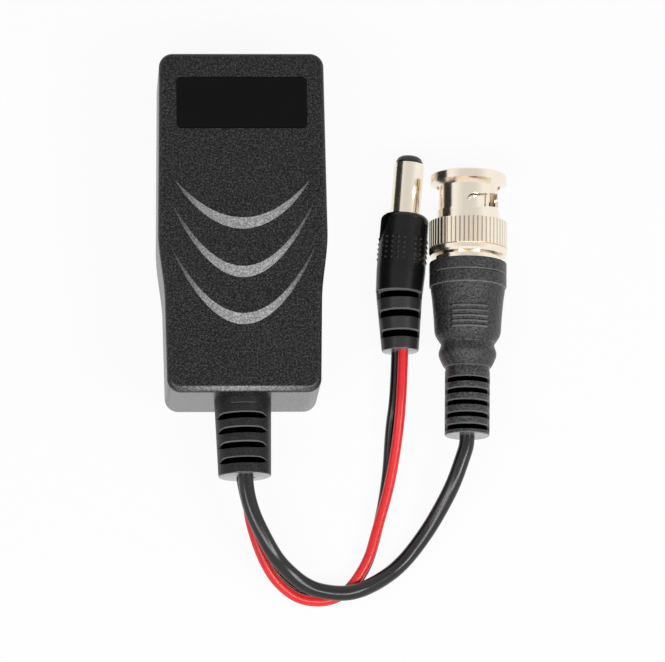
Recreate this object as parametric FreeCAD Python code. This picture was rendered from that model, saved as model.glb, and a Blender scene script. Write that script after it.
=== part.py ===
import FreeCAD, Part
import math
import os

# A video balun with its leads: millimetres, lying on its back on Z=0, cable end towards -Y.

V = FreeCAD.Vector
AXIS_Y, AXIS_Z = V(0, 1, 0), V(0, 0, 1)

# Housing
LENGTH = 63.0
HEAD_HALF_WIDTH = 15.0
SHOULDER_HALF_WIDTH = 15.4
WAIST_HALF_WIDTH = 14.25
FOOT_HALF_WIDTH = 13.9
SHOULDER_Y = -1.5
WAIST_Y = -14.5
FACE_HEIGHT = 19.8
CORNER_RADIUS = 2.5
FACE_EDGE_RADIUS = 1.2
BACK_EDGE_RADIUS = 0.4
WALL = 1.8
FACE_WALL = 1.8
COVER_THICKNESS = 1.6
LIP_WALL = 1.1
LIP_HEIGHT = 2.0
FIT_GAP = 0.12
BEAD_RADIUS = 0.35
BEAD_LENGTH = 6.0
BEAD_RISE = 1.2
BEAD_PLACES = (14.0, -22.0)

# Label plate and its recess
LABEL_LENGTH = 23.6
LABEL_WIDTH = 9.4
LABEL_THICKNESS = 0.5
LABEL_SETBACK = 9.4
LABEL_Y = LENGTH / 2 - LABEL_SETBACK
LABEL_CORNER = 0.8
RECESS_DEPTH = 0.45

# Crescent ridges: place of the crest on the centre line, curve, half span
RIDGES = ((0.5, 0.0475, 12.3), (-8.5, 0.0715, 13.0), (-17.2, 0.0728, 13.3))
RIDGE_HEIGHT = 0.6
RIDGE_RISE = 4.6
RIDGE_FALL = 1.95
RIDGE_ROOT = 0.5
RIDGE_STATIONS = 9
RIDGE_TAPER = 0.6
RIDGE_SHARE = 0.985

# Circuit board and the posts that carry it
BOARD_BOTTOM = 4.2
BOARD_THICKNESS = 1.6
BOARD_TOP = BOARD_BOTTOM + BOARD_THICKNESS
BOARD_HALF_WIDTH = 11.9
BOARD_FRONT = LENGTH / 2 - WALL - 0.3
BOARD_REAR = -16.0
POST_RADIUS = 1.9
POST_PIN_RADIUS = 0.8
POST_PLACES = ((9.6, 5.0), (-9.6, 5.0), (9.6, -13.2), (-9.6, -13.2))
HOLE_GAP = 0.1
HOLD_DOWN_WIDTH = 1.4
HOLD_DOWN_PLACES = (8.5, -4.9)
HOLD_DOWN_REACH = 2.2

# Modular socket
JACK_WIDTH = 15.8
JACK_HEADROOM = 0.7
JACK_HEIGHT = FACE_HEIGHT - FACE_WALL - JACK_HEADROOM - BOARD_TOP
JACK_DEPTH = 18.0
JACK_SETBACK = 0.2
JACK_FRONT = LENGTH / 2 - JACK_SETBACK
PORT_WIDTH = 11.9
PORT_HEIGHT = 6.8
PORT_FLOOR = BOARD_TOP + 2.3
PORT_DEPTH = 12.6
LATCH_WIDTH = 6.2
LATCH_DROP = 1.1
LATCH_TIP_WIDTH = 3.4
LATCH_TIP_DROP = 1.7
PEG_RADIUS = 1.5
PEG_LENGTH = 2.4
PEG_SPREAD = 5.7
PEG_SETBACK = 7.6
CONTACTS = 8
CONTACT_PITCH = 1.02
CONTACT_SECTION = 0.36
CONTACT_SLOT = 0.56
CONTACT_RAIL = (PORT_FLOOR + PORT_HEIGHT + BOARD_TOP + JACK_HEIGHT) / 2
CONTACT_LEGS = (14.4, 16.4)
CONTACT_TAIL = 1.1
CONTACT_HOLE_RADIUS = 0.36
CONTACT_BEND = 0.36
CONTACT_TURN = 1.6
CONTACT_LIP = 0.15
CONTACT_RUN = 8.45
CONTACT_DIP = 0.45
CONTACT_DROP = 3.3

# Board components
CORE_OUTER = 4.8
CORE_INNER = 2.5
CORE_HEIGHT = 4.0
CORE_Y = -3.2
TURN_WIRE = 0.4
TURN_GAP = 0.06
TURNS = 9
TURN_STEP = 15.0
STAND_OFF = 0.1
CORE_BOTTOM = BOARD_TOP + STAND_OFF + TURN_WIRE + TURN_GAP
LEAD_RADIUS = 0.3
LEAD_TAIL = 0.8
SUPPRESSOR_RADIUS = 1.5
SUPPRESSOR_LENGTH = 6.0
SUPPRESSOR_X = 8.8
SUPPRESSOR_Y = -5.6
SUPPRESSOR_LEAD = 1.2
DISC_RADIUS = 2.5
DISC_THICKNESS = 2.2
DISC_X = -8.1
DISC_LIFT = 0.7
DISC_LEAD_SHARE = 0.6
CAPACITOR_Y = -8.4
FUSE_Y = -1.4
RED_HOLE = (-5.2, -13.4)
BLACK_HOLE = (4.6, -13.4)
COAX_HOLE = (0.0, -12.2)

# Strain relief of the housing
RELIEF_Z = 10.0
RELIEF_LENGTH = 13.85
RELIEF_BASE_RADIUS = 5.2
RELIEF_END_RADIUS = 4.8
RELIEF_LEAN = 1.0
RELIEF_OVERLAP = 0.5
RELIEF_NECK_RADIUS = 4.3
RELIEF_FLANGE_RADIUS = 5.7
RELIEF_FLANGE = 1.6
RELIEF_CORE_RADIUS = 3.6
RELIEF_GROOVES = (3.3, 6.0, 8.7, 11.5)
RELIEF_GROOVE_WIDTH = 1.1
RELIEF_WEB = 2.2
SEAT_GAP = 0.05

# Leads
COAX_RADIUS = 1.4
WIRE_RADIUS = 0.8
BORE_GAP = 0.05
COAX_EXIT = (0.35, 12.0)
RED_EXIT = (-0.45, 8.9)
BLACK_EXIT = (1.45, 8.9)
CORE_WIRE_RADIUS = 0.35
RELIEF_END_Y = -(LENGTH / 2 + RELIEF_LENGTH)
TAIL_STRAIGHT = 3.6
TAIL_CLEARANCE = 0.35
STRIP_LENGTH = 2.2
STRIP_OVERLAP = 0.4
TAIL_SIDE_SHARE = 0.6
COAX_SAG = 5.6
WIRE_SAG = 4.0

# DC plug: the strain relief lies along Y, the grip leans from it
DC_X = 29.2
DC_END_Y = -21.15
DC_PIVOT_Y = -10.15
DC_Z = 4.6
DC_LEAN = 5.25
DC_RELIEF_END_RADIUS = 3.4
DC_RELIEF_BASE_RADIUS = 4.3
DC_RELIEF_EDGE = 0.3
DC_GROOVES = (2.9, 6.6, 10.2)
DC_GROOVE_WIDTH = 1.35
DC_GROOVE_DEPTH = 1.2
DC_WEB = 1.1
DC_GRIP_RADIUS = 4.5
DC_GRIP_REAR_RADIUS = 4.3
DC_GRIP_REAR = 4.0
DC_GRIP_OVERLAP = 0.4
DC_GRIP_LENGTH = 14.55
# The grip's rounded front corner: distance back from its face, radius
DC_GRIP_CORNER = ((1.05, 4.4), (0.65, 4.3), (0.35, 4.1), (0.2, 3.85), (0.0, 3.75))
DC_BARREL_RADIUS = 2.75
DC_BARREL_LENGTH = 9.8
DC_BARREL_WALL = 0.3
DC_ROOT_LENGTH = 4.0
DC_ROOT_RADIUS = 2.4
DC_TIP_LENGTH = 1.4
# The domed ring at the barrel's end: share of its length, radius
DC_TIP_DOME = ((0.0, 2.5), (0.3, 2.46), (0.75, 2.15), (1.0, 1.7))
DC_BORE_RADIUS = 1.05
DC_CONTACT_WALL = 0.25
DC_CONTACT_SETBACK = 0.4
DC_BORE_DEPTH = 9.5
RED_ENTRY = (0.7, 0.5)
BLACK_ENTRY = (-0.9, -0.5)

# Bayonet plug, measured along its axis from the boot's cable end
BNC_X = 41.0
BNC_END_Y = -37.45
BNC_Z = 7.22
BNC_LEAN = 1.35
BOOT_TAIL_RADIUS = 4.28
BOOT_TAIL_EDGE = 0.25
BOOT_GROOVES = (1.2, 3.45, 5.7, 7.9, 10.05)
BOOT_GROOVE_WIDTH = 0.9
BOOT_CORE_RADIUS = 2.3
BOOT_WEB = 1.0
BOOT_SPINE = (0.45, 3.65)
# Collar, waist and swelling: distance from the cable end, radius
BOOT_PROFILE = (
    (11.6, 4.28), (12.0, 3.85), (12.35, 3.85), (12.7, 4.25), (13.25, 4.6), (14.0, 4.95), (14.7, 5.22),
    (15.2, 5.3), (15.6, 5.26), (16.1, 5.1), (16.6, 4.92), (17.0, 4.9), (17.4, 5.12), (18.0, 5.52),
    (18.6, 5.89), (19.2, 6.08), (19.8, 6.13), (21.7, 6.24), (23.6, 6.4), (25.5, 6.6), (27.0, 6.83),
    (27.5, 6.95), (27.75, 7.05),
)
BOOT_RIBS = 5
BOOT_RIB_FIRST = 19.5
BOOT_RIB_PITCH = 0.95
BOOT_RIB_WIDTH = 0.45
BOOT_RIB_HEIGHT = 0.25
BOOT_RIB_HALF_SPAN = 3.6
BOOT_RADIUS = 7.1
BOOT_FRONT = 32.3
BOOT_LINE = 29.9
BOOT_LINE_DEPTH = 0.18
BOOT_LINE_WIDTH = 0.3
BOOT_FRONT_EDGE = 0.2
FERRULE_REAR = 12.2
FERRULE_LENGTH = 9.6
FERRULE_RADIUS = 2.1
SHANK_REAR = 22.0
SHANK_RADIUS = 4.6
BODY_FLANGE_RADIUS = 6.0
BODY_FLANGE_REAR = 32.35
BODY_FLANGE = 0.9
JOURNAL_RADIUS = 4.68
JOURNAL_END = 38.2
JOURNAL_GAP = 0.08
CONTACT_RADIUS = 4.05
CONTACT_NECK_RADIUS = 3.8
CONTACT_START = 38.9
CONTACT_WALL = 0.45
CONTACT_END = 47.2
CONTACT_SLOTS = 4
CONTACT_SLOT_WIDTH = 0.5
CONTACT_SLOT_LENGTH = 6.0
CONTACT_POINT = 0.4
CABLE_SEAT = 1.2
THROAT_GAP = 0.3
INSULATOR_REAR = 24.2
INSULATOR_FRONT = 46.0
INSULATOR_RADIUS = CONTACT_RADIUS - CONTACT_WALL - BORE_GAP
REAR_BORE_RADIUS = 3.3
BORE_STEP = CONTACT_START + CONTACT_WALL
MOUTH_RADIUS = 2.45
MOUTH_FLOOR = 40.5
PIN_RADIUS = 0.68
PIN_SHANK_RADIUS = 1.0
PIN_REAR = 24.4
PIN_STEP = 40.55
PIN_FRONT = 47.0
PIN_POINT = 0.8
PIN_POINT_SHARE = 0.4

# Coupling sleeve, its washers and its bayonet slots
SLEEVE_REAR = 33.55
SLEEVE_LIP = 1.65
SLEEVE_FRONT = 48.8
SLEEVE_CAVITY_RADIUS = 6.05
SLEEVE_CAVITY_END = 39.2
SLEEVE_BORE_RADIUS = 4.95
SLEEVE_BARREL_RADIUS = 5.5
SLEEVE_COLLAR_RADIUS = 5.75
SLEEVE_COLLAR_END = 41.9
KNURL_REAR = 34.9
KNURL_FRONT = 39.8
KNURL_RADIUS = 7.2
KNURL_DEPTH = 0.26
KNURL_FLAT = 0.62
KNURLS = 54
SLEEVE_REAR_RADIUS = 6.9
RIM_RADIUS = 7.0
RIM_LENGTH = 1.65
RIM_CHAMFER = 0.75
SLOT_ANGLE = 9.0
SLOT_SWEEP = 76.0
SLOT_ADVANCE = 1.0
SLOT_WIDTH = 2.5
ENTRY_DEPTH = 0.3
DETENT_RADIUS = 1.45
DETENT_AT = 43.0
SLEEVE_TRAVEL = 0.8
WASHER_GAP = 0.05
SLIP_WASHER = 0.4
WAVE_WASHER = 0.25
WAVE_ROOM = SLEEVE_TRAVEL + 0.7
WAVES = 3
RING_WIDTH = 0.55
RING_GROOVE_RADIUS = 4.4
RING_RADIUS = 5.7
RING_OPENING = 50.0
SLIP_WASHER_REAR = SLEEVE_REAR + SLEEVE_LIP + WASHER_GAP
RING_REAR = SLIP_WASHER_REAR + SLIP_WASHER + WASHER_GAP + WAVE_ROOM
GASKET_RADIUS = 5.3
GASKET_LENGTH = 0.6


def prism(wire, height):
    return Part.Face(wire).extrude(V(0, 0, height))


def polygon(points):
    return Part.makePolygon([V(*p) for p in points] + [V(*points[0])])


def block(x0, x1, y0, y1, z0, z1):
    return Part.makeBox(x1 - x0, y1 - y0, z1 - z0, V(x0, y0, z0))


def rod(radius, start, end):
    start, end = V(*start), V(*end)
    return Part.makeCylinder(radius, (end - start).Length, start, end - start)


def turned(profile):
    """A solid turned about the Y axis from (along, radius) points."""
    wire = polygon([(r, s, 0) for s, r in profile])
    return Part.Face(wire).revolve(V(0, 0, 0), AXIS_Y, 360)


def ring(start, end, inner, outer):
    return turned([(start, inner), (end, inner), (end, outer), (start, outer)])


def joined(shapes):
    shapes = list(shapes)
    return shapes[0].multiFuse(shapes[1:]).removeSplitter()


def half_width(y):
    """Half the housing's width where its sides are straight."""
    if y >= SHOULDER_Y:
        share = (LENGTH / 2 - y) / (LENGTH / 2 - SHOULDER_Y)
        return HEAD_HALF_WIDTH + share * (SHOULDER_HALF_WIDTH - HEAD_HALF_WIDTH)
    share = (WAIST_Y - y) / (WAIST_Y + LENGTH / 2)
    return WAIST_HALF_WIDTH + share * (FOOT_HALF_WIDTH - WAIST_HALF_WIDTH)


def outline(inset):
    """The housing seen from above: straight sides joined by an S curve below the shoulder."""
    end = LENGTH / 2 - inset
    edges = []
    for side in (1, -1):
        head = V(side * (HEAD_HALF_WIDTH - inset), end, 0)
        shoulder = V(side * (SHOULDER_HALF_WIDTH - inset), SHOULDER_Y, 0)
        waist = V(side * (WAIST_HALF_WIDTH - inset), WAIST_Y, 0)
        foot = V(side * (FOOT_HALF_WIDTH - inset), -end, 0)
        bend = Part.BSplineCurve()
        reach = shoulder.distanceToPoint(waist)
        bend.interpolate(
            Points=[shoulder, waist],
            InitialTangent=(shoulder - head).normalize() * reach,
            FinalTangent=(foot - waist).normalize() * reach,
        )
        edges += [
            Part.LineSegment(head, shoulder).toShape(),
            bend.toShape(),
            Part.LineSegment(waist, foot).toShape(),
        ]
    for y, half in ((end, HEAD_HALF_WIDTH - inset), (-end, FOOT_HALF_WIDTH - inset)):
        edges.append(Part.LineSegment(V(-half, y, 0), V(half, y, 0)).toShape())
    return Part.Wire(Part.sortEdges(edges)[0])


def outline_block(inset, bottom, top):
    """The outline raised to a block with rounded corners."""
    solid = prism(outline(inset), top - bottom)
    solid.translate(V(0, 0, bottom))
    end = LENGTH / 2 - inset
    corners = [
        e for e in solid.Edges
        if all(abs(abs(v.Y) - end) < 1e-6 for v in e.Vertexes) and e.BoundBox.ZLength > 0.5 * (top - bottom)
    ]
    return solid.makeFillet(max(CORNER_RADIUS - inset, 0.5), corners)


def rounded_plate(length, width, thickness, corner):
    plate = block(-length / 2, length / 2, -width / 2, width / 2, 0, thickness)
    uprights = [e for e in plate.Edges if e.BoundBox.ZLength > 0.9 * thickness]
    return plate.makeFillet(corner, uprights)


def ridge(crest_y, curve, half_span):
    """One crescent: a long slope up to a sharp crest and a short one down, fading out at its ends."""
    last = RIDGE_STATIONS - 1
    shares = [RIDGE_SHARE * (2 * i / last - 1) for i in range(RIDGE_STATIONS)]
    sides = ((RIDGE_RISE, -RIDGE_ROOT), (RIDGE_RISE, 0), (0, RIDGE_HEIGHT), (-RIDGE_FALL, 0),
             (-RIDGE_FALL, -RIDGE_ROOT))
    lines = []
    for forward, height in sides:
        points = []
        for share in shares:
            size = (1 - share ** 2) ** RIDGE_TAPER
            x = share * half_span
            points.append(V(x, crest_y + curve * x * x + forward * size, FACE_HEIGHT + height * size))
        spline = Part.BSplineCurve()
        spline.interpolate(Points=points, Parameters=shares)
        lines.append(spline.toShape())
    faces = [Part.makeRuledSurface(a, b) for a, b in zip(lines, lines[1:] + lines[:1])]
    for end in (0, 1):
        corners = [line.Vertexes[end].Point for line in lines]
        faces.append(Part.Face(Part.makePolygon(corners + corners[:1])))
    shell = Part.Shell(Part.makeCompound(faces).Faces)
    shell.sewShape()
    solid = Part.Solid(shell)
    if solid.Volume < 0:
        solid.reverse()
    return solid


def jack_slot(gap, top):
    """The end wall's opening for the socket, from the seam up."""
    half = JACK_WIDTH / 2 + gap
    return block(-half, half, LENGTH / 2 - WALL - 1, LENGTH / 2 + 1, COVER_THICKNESS - 1, top)


def cable_slot(radius, half, gap):
    """The other end wall's slot for the strain relief: round at the top, straight down to the seam."""
    outer, inner = -LENGTH / 2 - 1, -LENGTH / 2 + WALL + 1
    hole = rod(radius, (0, outer, RELIEF_Z), (0, inner, RELIEF_Z))
    slot = block(-half - gap, half + gap, outer, inner, COVER_THICKNESS - 1, RELIEF_Z)
    return hole.fuse(slot)


def snap_rods(radius):
    """Beads or grooves along both long sides, where the cover's lip meets the shell."""
    rods = []
    for y in BEAD_PLACES:
        x = half_width(y) - WALL - FIT_GAP
        z = COVER_THICKNESS + BEAD_RISE
        reach = BEAD_LENGTH / 2 + radius - BEAD_RADIUS
        for side in (1, -1):
            rods.append(rod(radius, (side * x, y - reach, z), (side * x, y + reach, z)))
    return rods


def make_top_shell():
    shell = outline_block(0, COVER_THICKNESS, FACE_HEIGHT)
    face_edges = [e for e in shell.Edges if all(abs(v.Z - FACE_HEIGHT) < 1e-6 for v in e.Vertexes)]
    shell = shell.makeFillet(FACE_EDGE_RADIUS, face_edges)
    for crest_y, curve, half_span in RIDGES:
        shell = shell.fuse(ridge(crest_y, curve, half_span))
    recess = rounded_plate(
        LABEL_LENGTH + 2 * FIT_GAP, LABEL_WIDTH + 2 * FIT_GAP, RECESS_DEPTH + 1, LABEL_CORNER + FIT_GAP)
    recess.translate(V(0, LABEL_Y, FACE_HEIGHT - RECESS_DEPTH))
    ceiling = FACE_HEIGHT - FACE_WALL
    hollow = outline_block(WALL, COVER_THICKNESS - 1, ceiling)
    hold_downs = []
    for y in HOLD_DOWN_PLACES:
        for side in (1, -1):
            wall_x = half_width(max(y, SHOULDER_Y) if y > WAIST_Y else y) - WALL
            foot_x = BOARD_HALF_WIDTH - HOLD_DOWN_REACH / 2
            x0, x1 = sorted((side * foot_x, side * (wall_x + 0.3 * WALL)))
            hold_downs.append(block(
                x0, x1, y - HOLD_DOWN_WIDTH / 2, y + HOLD_DOWN_WIDTH / 2,
                BOARD_TOP + FIT_GAP, ceiling + 0.3 * FACE_WALL))
    shell = shell.cut(hollow).multiFuse(hold_downs)
    cuts = [
        recess,
        jack_slot(FIT_GAP, BOARD_TOP + JACK_HEIGHT + FIT_GAP),
        cable_slot(RELIEF_NECK_RADIUS + SEAT_GAP, RELIEF_NECK_RADIUS + SEAT_GAP, 0),
    ]
    return shell.cut(cuts + snap_rods(BEAD_RADIUS + FIT_GAP))


def make_back_cover():
    plate = outline_block(0, 0, COVER_THICKNESS)
    under = [e for e in plate.Edges if all(abs(v.Z) < 1e-6 for v in e.Vertexes)]
    plate = plate.makeFillet(BACK_EDGE_RADIUS, under)
    lip_top = COVER_THICKNESS + LIP_HEIGHT
    lip = outline_block(WALL + FIT_GAP, COVER_THICKNESS - 0.5, lip_top)
    lip = lip.cut(outline_block(WALL + FIT_GAP + LIP_WALL, COVER_THICKNESS - 1, lip_top + 1))
    lip = joined([lip] + snap_rods(BEAD_RADIUS))
    end = LENGTH / 2
    lip = lip.cut([
        block(-JACK_WIDTH / 2 - 1, JACK_WIDTH / 2 + 1, end - WALL - LIP_WALL - 1, end, COVER_THICKNESS, end),
        block(-RELIEF_FLANGE_RADIUS - 1, RELIEF_FLANGE_RADIUS + 1,
              -end, -end + WALL + LIP_WALL + 1, COVER_THICKNESS, end),
    ])
    jack_tongue = block(
        -JACK_WIDTH / 2, JACK_WIDTH / 2, end - WALL, end, COVER_THICKNESS - 0.5, BOARD_TOP - FIT_GAP)
    half = RELIEF_NECK_RADIUS + SEAT_GAP - FIT_GAP
    cable_tongue = block(-half, half, -end, -end + WALL, COVER_THICKNESS - 0.5, RELIEF_Z)
    cable_tongue = cable_tongue.cut(
        rod(RELIEF_NECK_RADIUS + SEAT_GAP, (0, -end - 1, RELIEF_Z), (0, -end + WALL + 1, RELIEF_Z)))
    posts = []
    for x, y in POST_PLACES:
        posts.append(rod(POST_RADIUS, (x, y, COVER_THICKNESS - 0.5), (x, y, BOARD_BOTTOM)))
        posts.append(rod(POST_PIN_RADIUS, (x, y, BOARD_BOTTOM - 0.5), (x, y, BOARD_TOP + 0.6)))
    return joined([plate, lip, jack_tongue, cable_tongue] + posts)


def make_label_plate():
    plate = rounded_plate(LABEL_LENGTH, LABEL_WIDTH, LABEL_THICKNESS, LABEL_CORNER)
    plate.translate(V(0, LABEL_Y, FACE_HEIGHT - RECESS_DEPTH))
    return plate


def contact_x(index):
    return (index - (CONTACTS - 1) / 2) * CONTACT_PITCH


def leg_y(index):
    return JACK_FRONT - CONTACT_LEGS[index % 2]


def make_jack_housing():
    half = JACK_WIDTH / 2
    rear = JACK_FRONT - JACK_DEPTH
    body = block(-half, half, rear, JACK_FRONT, BOARD_TOP, BOARD_TOP + JACK_HEIGHT)
    back = JACK_FRONT - PORT_DEPTH
    front = JACK_FRONT + 1
    ceiling = PORT_FLOOR + PORT_HEIGHT
    levels = (
        (PORT_WIDTH, PORT_FLOOR, ceiling),
        (LATCH_WIDTH, PORT_FLOOR - LATCH_DROP, PORT_FLOOR + 1),
        (LATCH_TIP_WIDTH, PORT_FLOOR - LATCH_TIP_DROP, PORT_FLOOR),
    )
    cuts = [block(-width / 2, width / 2, back, front, low, high) for width, low, high in levels]
    rail_top = CONTACT_RAIL + CONTACT_SLOT / 2
    for i in range(CONTACTS):
        x0, x1 = contact_x(i) - CONTACT_SLOT / 2, contact_x(i) + CONTACT_SLOT / 2
        cuts.append(block(x0, x1, rear - 1, JACK_FRONT - 1.0, ceiling - 0.5, rail_top))
        cuts.append(block(x0, x1, rear - 1, leg_y(i) + CONTACT_SLOT / 2, BOARD_TOP - 1, ceiling))
    pegs = []
    for side in (1, -1):
        x, y = side * PEG_SPREAD, JACK_FRONT - PEG_SETBACK
        pegs.append(rod(PEG_RADIUS, (x, y, BOARD_TOP - PEG_LENGTH), (x, y, BOARD_TOP + 0.5)))
    return joined([body.cut(cuts)] + pegs)


def path_wire(points, radius=None):
    """Straight runs joined by tangent arcs. With no radius given, each arc is as large as its runs allow."""
    points = [V(*p) for p in points]
    edges, at, radii = [], points[0], []
    for before, point, after in zip(points, points[1:], points[2:]):
        incoming, outgoing = (point - before), (after - point)
        shorter = min(incoming.Length, outgoing.Length)
        half_turn = incoming.getAngle(outgoing) / 2
        setback = 0.45 * shorter if radius is None else radius * math.tan(half_turn)
        radii.append(setback / math.tan(half_turn))
        incoming.normalize()
        outgoing.normalize()
        start, end = point - incoming * setback, point + outgoing * setback
        towards = (outgoing - incoming).normalize()
        middle = point + towards * (radii[-1] / math.cos(half_turn) - radii[-1])
        edges.append(Part.LineSegment(at, start).toShape())
        edges.append(Part.Arc(start, middle, end).toShape())
        at = end
    edges.append(Part.LineSegment(at, points[-1]).toShape())
    return Part.Wire(edges), radii


def swept(wire, section):
    return wire.makePipeShell([section], True, False)


def round_section(points, radius):
    start = V(*points[0])
    along = V(*points[1]) - start
    return Part.Wire(Part.makeCircle(radius, start, along))


def tube(points, radius, arc=None):
    wire, radii = path_wire(points, arc)
    return swept(wire, round_section(points, radius)), wire, radii


def cord(name, points, radius):
    """A lead's plain tube, with its length, bends and volume printed to be looked at."""
    solid, wire, radii = tube(points, radius)
    expected = math.pi * radius ** 2 * wire.Length
    bends = ", ".join(f"{r:.1f}" for r in radii)
    print(f"{name}: length {wire.Length:.1f}, volume ratio {solid.Volume / expected:.4f}, arc radii {bends}")
    return solid


def make_jack_contacts():
    """Eight bent wires: up from the board, forward under the roof, then back and down into the port."""
    half = CONTACT_SECTION / 2
    ceiling = PORT_FLOOR + PORT_HEIGHT
    turn = JACK_FRONT - CONTACT_TURN
    contacts = []
    for i in range(CONTACTS):
        x = contact_x(i)
        points = [
            (x, leg_y(i), BOARD_BOTTOM - CONTACT_TAIL),
            (x, leg_y(i), CONTACT_RAIL),
            (x, turn, CONTACT_RAIL),
            (x, turn - CONTACT_LIP, ceiling - CONTACT_DIP),
            (x, turn - CONTACT_LIP - CONTACT_RUN, ceiling - CONTACT_DROP),
        ]
        wire, _ = path_wire(points, CONTACT_BEND)
        y, z = points[0][1:]
        section = polygon([(x - half, y - half, z), (x + half, y - half, z),
                           (x + half, y + half, z), (x - half, y + half, z)])
        contacts.append(swept(wire, section))
    return Part.Compound(contacts)


def winding_angles(side):
    """Where a winding's turns stand round the core, in degrees."""
    first = 90 * (1 - side) - TURN_STEP * (TURNS - 1) / 2
    return [first + TURN_STEP * i for i in range(TURNS)]


def lead_places():
    """Every lead's place on the board, by the piece that it belongs to."""
    places = {"red": [RED_HOLE], "black": [BLACK_HOLE], "coax": [COAX_HOLE]}
    reach = SUPPRESSOR_LENGTH / 2 + SUPPRESSOR_LEAD
    places["suppressor"] = [(SUPPRESSOR_X, SUPPRESSOR_Y + reach), (SUPPRESSOR_X, SUPPRESSOR_Y - reach)]
    spread = DISC_RADIUS * DISC_LEAD_SHARE
    for name, y in (("capacitor", CAPACITOR_Y), ("fuse", FUSE_Y)):
        places[name] = [(DISC_X - spread, y), (DISC_X + spread, y)]
    for name, side in (("first_winding", 1), ("second_winding", -1)):
        angles = winding_angles(side)
        radius = CORE_OUTER + TURN_GAP + TURN_WIRE / 2
        places[name] = [
            (radius * math.cos(math.radians(a)), CORE_Y + radius * math.sin(math.radians(a)))
            for a in (angles[0], angles[-1])
        ]
    return places


def lead(x, y, top):
    return rod(LEAD_RADIUS, (x, y, BOARD_BOTTOM - LEAD_TAIL), (x, y, top))


def make_circuit_board():
    board = block(
        -BOARD_HALF_WIDTH, BOARD_HALF_WIDTH, BOARD_REAR, BOARD_FRONT, BOARD_BOTTOM, BOARD_TOP)

    def hole(x, y, radius):
        return rod(radius, (x, y, BOARD_BOTTOM - 1), (x, y, BOARD_TOP + 1))

    holes = [hole(x, y, POST_PIN_RADIUS + HOLE_GAP) for x, y in POST_PLACES]
    holes += [hole(contact_x(i), leg_y(i), CONTACT_HOLE_RADIUS) for i in range(CONTACTS)]
    holes += [hole(s * PEG_SPREAD, JACK_FRONT - PEG_SETBACK, PEG_RADIUS + HOLE_GAP) for s in (1, -1)]
    for name, places in lead_places().items():
        radius = CORE_WIRE_RADIUS if name in ("red", "black", "coax") else LEAD_RADIUS
        holes += [hole(x, y, radius + HOLE_GAP) for x, y in places]
    return board.cut(holes)


def make_toroid_core():
    core = Part.makeCylinder(CORE_OUTER, CORE_HEIGHT, V(0, CORE_Y, CORE_BOTTOM))
    return core.cut(Part.makeCylinder(CORE_INNER, CORE_HEIGHT + 2, V(0, CORE_Y, CORE_BOTTOM - 1)))


def make_winding(name, side):
    """Square turns round half of the core, the first and last with a lead down through the board."""
    inner, outer = CORE_INNER - TURN_GAP, CORE_OUTER + TURN_GAP
    low, high = CORE_BOTTOM - TURN_GAP, CORE_BOTTOM + CORE_HEIGHT + TURN_GAP
    frame = block(inner - TURN_WIRE, outer + TURN_WIRE, -TURN_WIRE / 2, TURN_WIRE / 2,
                  low - TURN_WIRE, high + TURN_WIRE)
    frame = frame.cut(block(inner, outer, -TURN_WIRE, TURN_WIRE, low, high))
    turns = []
    for angle in winding_angles(side):
        turn = frame.copy()
        turn.rotate(V(0, 0, 0), AXIS_Z, angle)
        turn.translate(V(0, CORE_Y, 0))
        turns.append(turn)
    for index, (x, y) in zip((0, -1), lead_places()[name]):
        leg = rod(TURN_WIRE / 2, (x, y, BOARD_BOTTOM - LEAD_TAIL), (x, y, low - TURN_WIRE / 2))
        turns[index] = turns[index].fuse(leg)
    return Part.Compound(turns)


def make_surge_suppressor():
    z = BOARD_TOP + SUPPRESSOR_RADIUS + STAND_OFF
    half = SUPPRESSOR_LENGTH / 2
    x, y = SUPPRESSOR_X, SUPPRESSOR_Y
    pieces = [rod(SUPPRESSOR_RADIUS, (x, y - half, z), (x, y + half, z))]
    for end, (_, lead_y) in zip((half, -half), lead_places()["suppressor"]):
        bend = [(x, y + end * 0.9, z), (x, lead_y, z), (x, lead_y, BOARD_BOTTOM - LEAD_TAIL)]
        pieces.append(tube(bend, LEAD_RADIUS, 2 * LEAD_RADIUS)[0])
    return joined(pieces)


def make_disc(name, y):
    """A round radial component that stands on two leads."""
    z = BOARD_TOP + DISC_RADIUS + DISC_LIFT
    disc = rod(DISC_RADIUS, (DISC_X, y - DISC_THICKNESS / 2, z), (DISC_X, y + DISC_THICKNESS / 2, z))
    rim = [e for e in disc.Edges if e.Curve.TypeId == "Part::GeomCircle"]
    disc = disc.makeFillet(DISC_THICKNESS * 0.35, rim)
    return joined([disc] + [lead(x, place_y, z - DISC_RADIUS * 0.5) for x, place_y in lead_places()[name]])


def grooved(solid, grooves, width, core, reach, web, spine=None):
    """Ring grooves cut round a strain relief, left whole at a web on each side and on a low spine."""
    cutters = []
    for at in grooves:
        cutter = ring(at - width / 2, at + width / 2, core(at), reach)
        cutter = cutter.cut(block(-reach - 1, reach + 1, at - width, at + width, -web, web))
        if spine:
            half, top = spine
            cutter = cutter.cut(block(-half, half, at - width, at + width, -top, top))
        cutters.append(cutter)
    return solid.cut(cutters)


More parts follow.
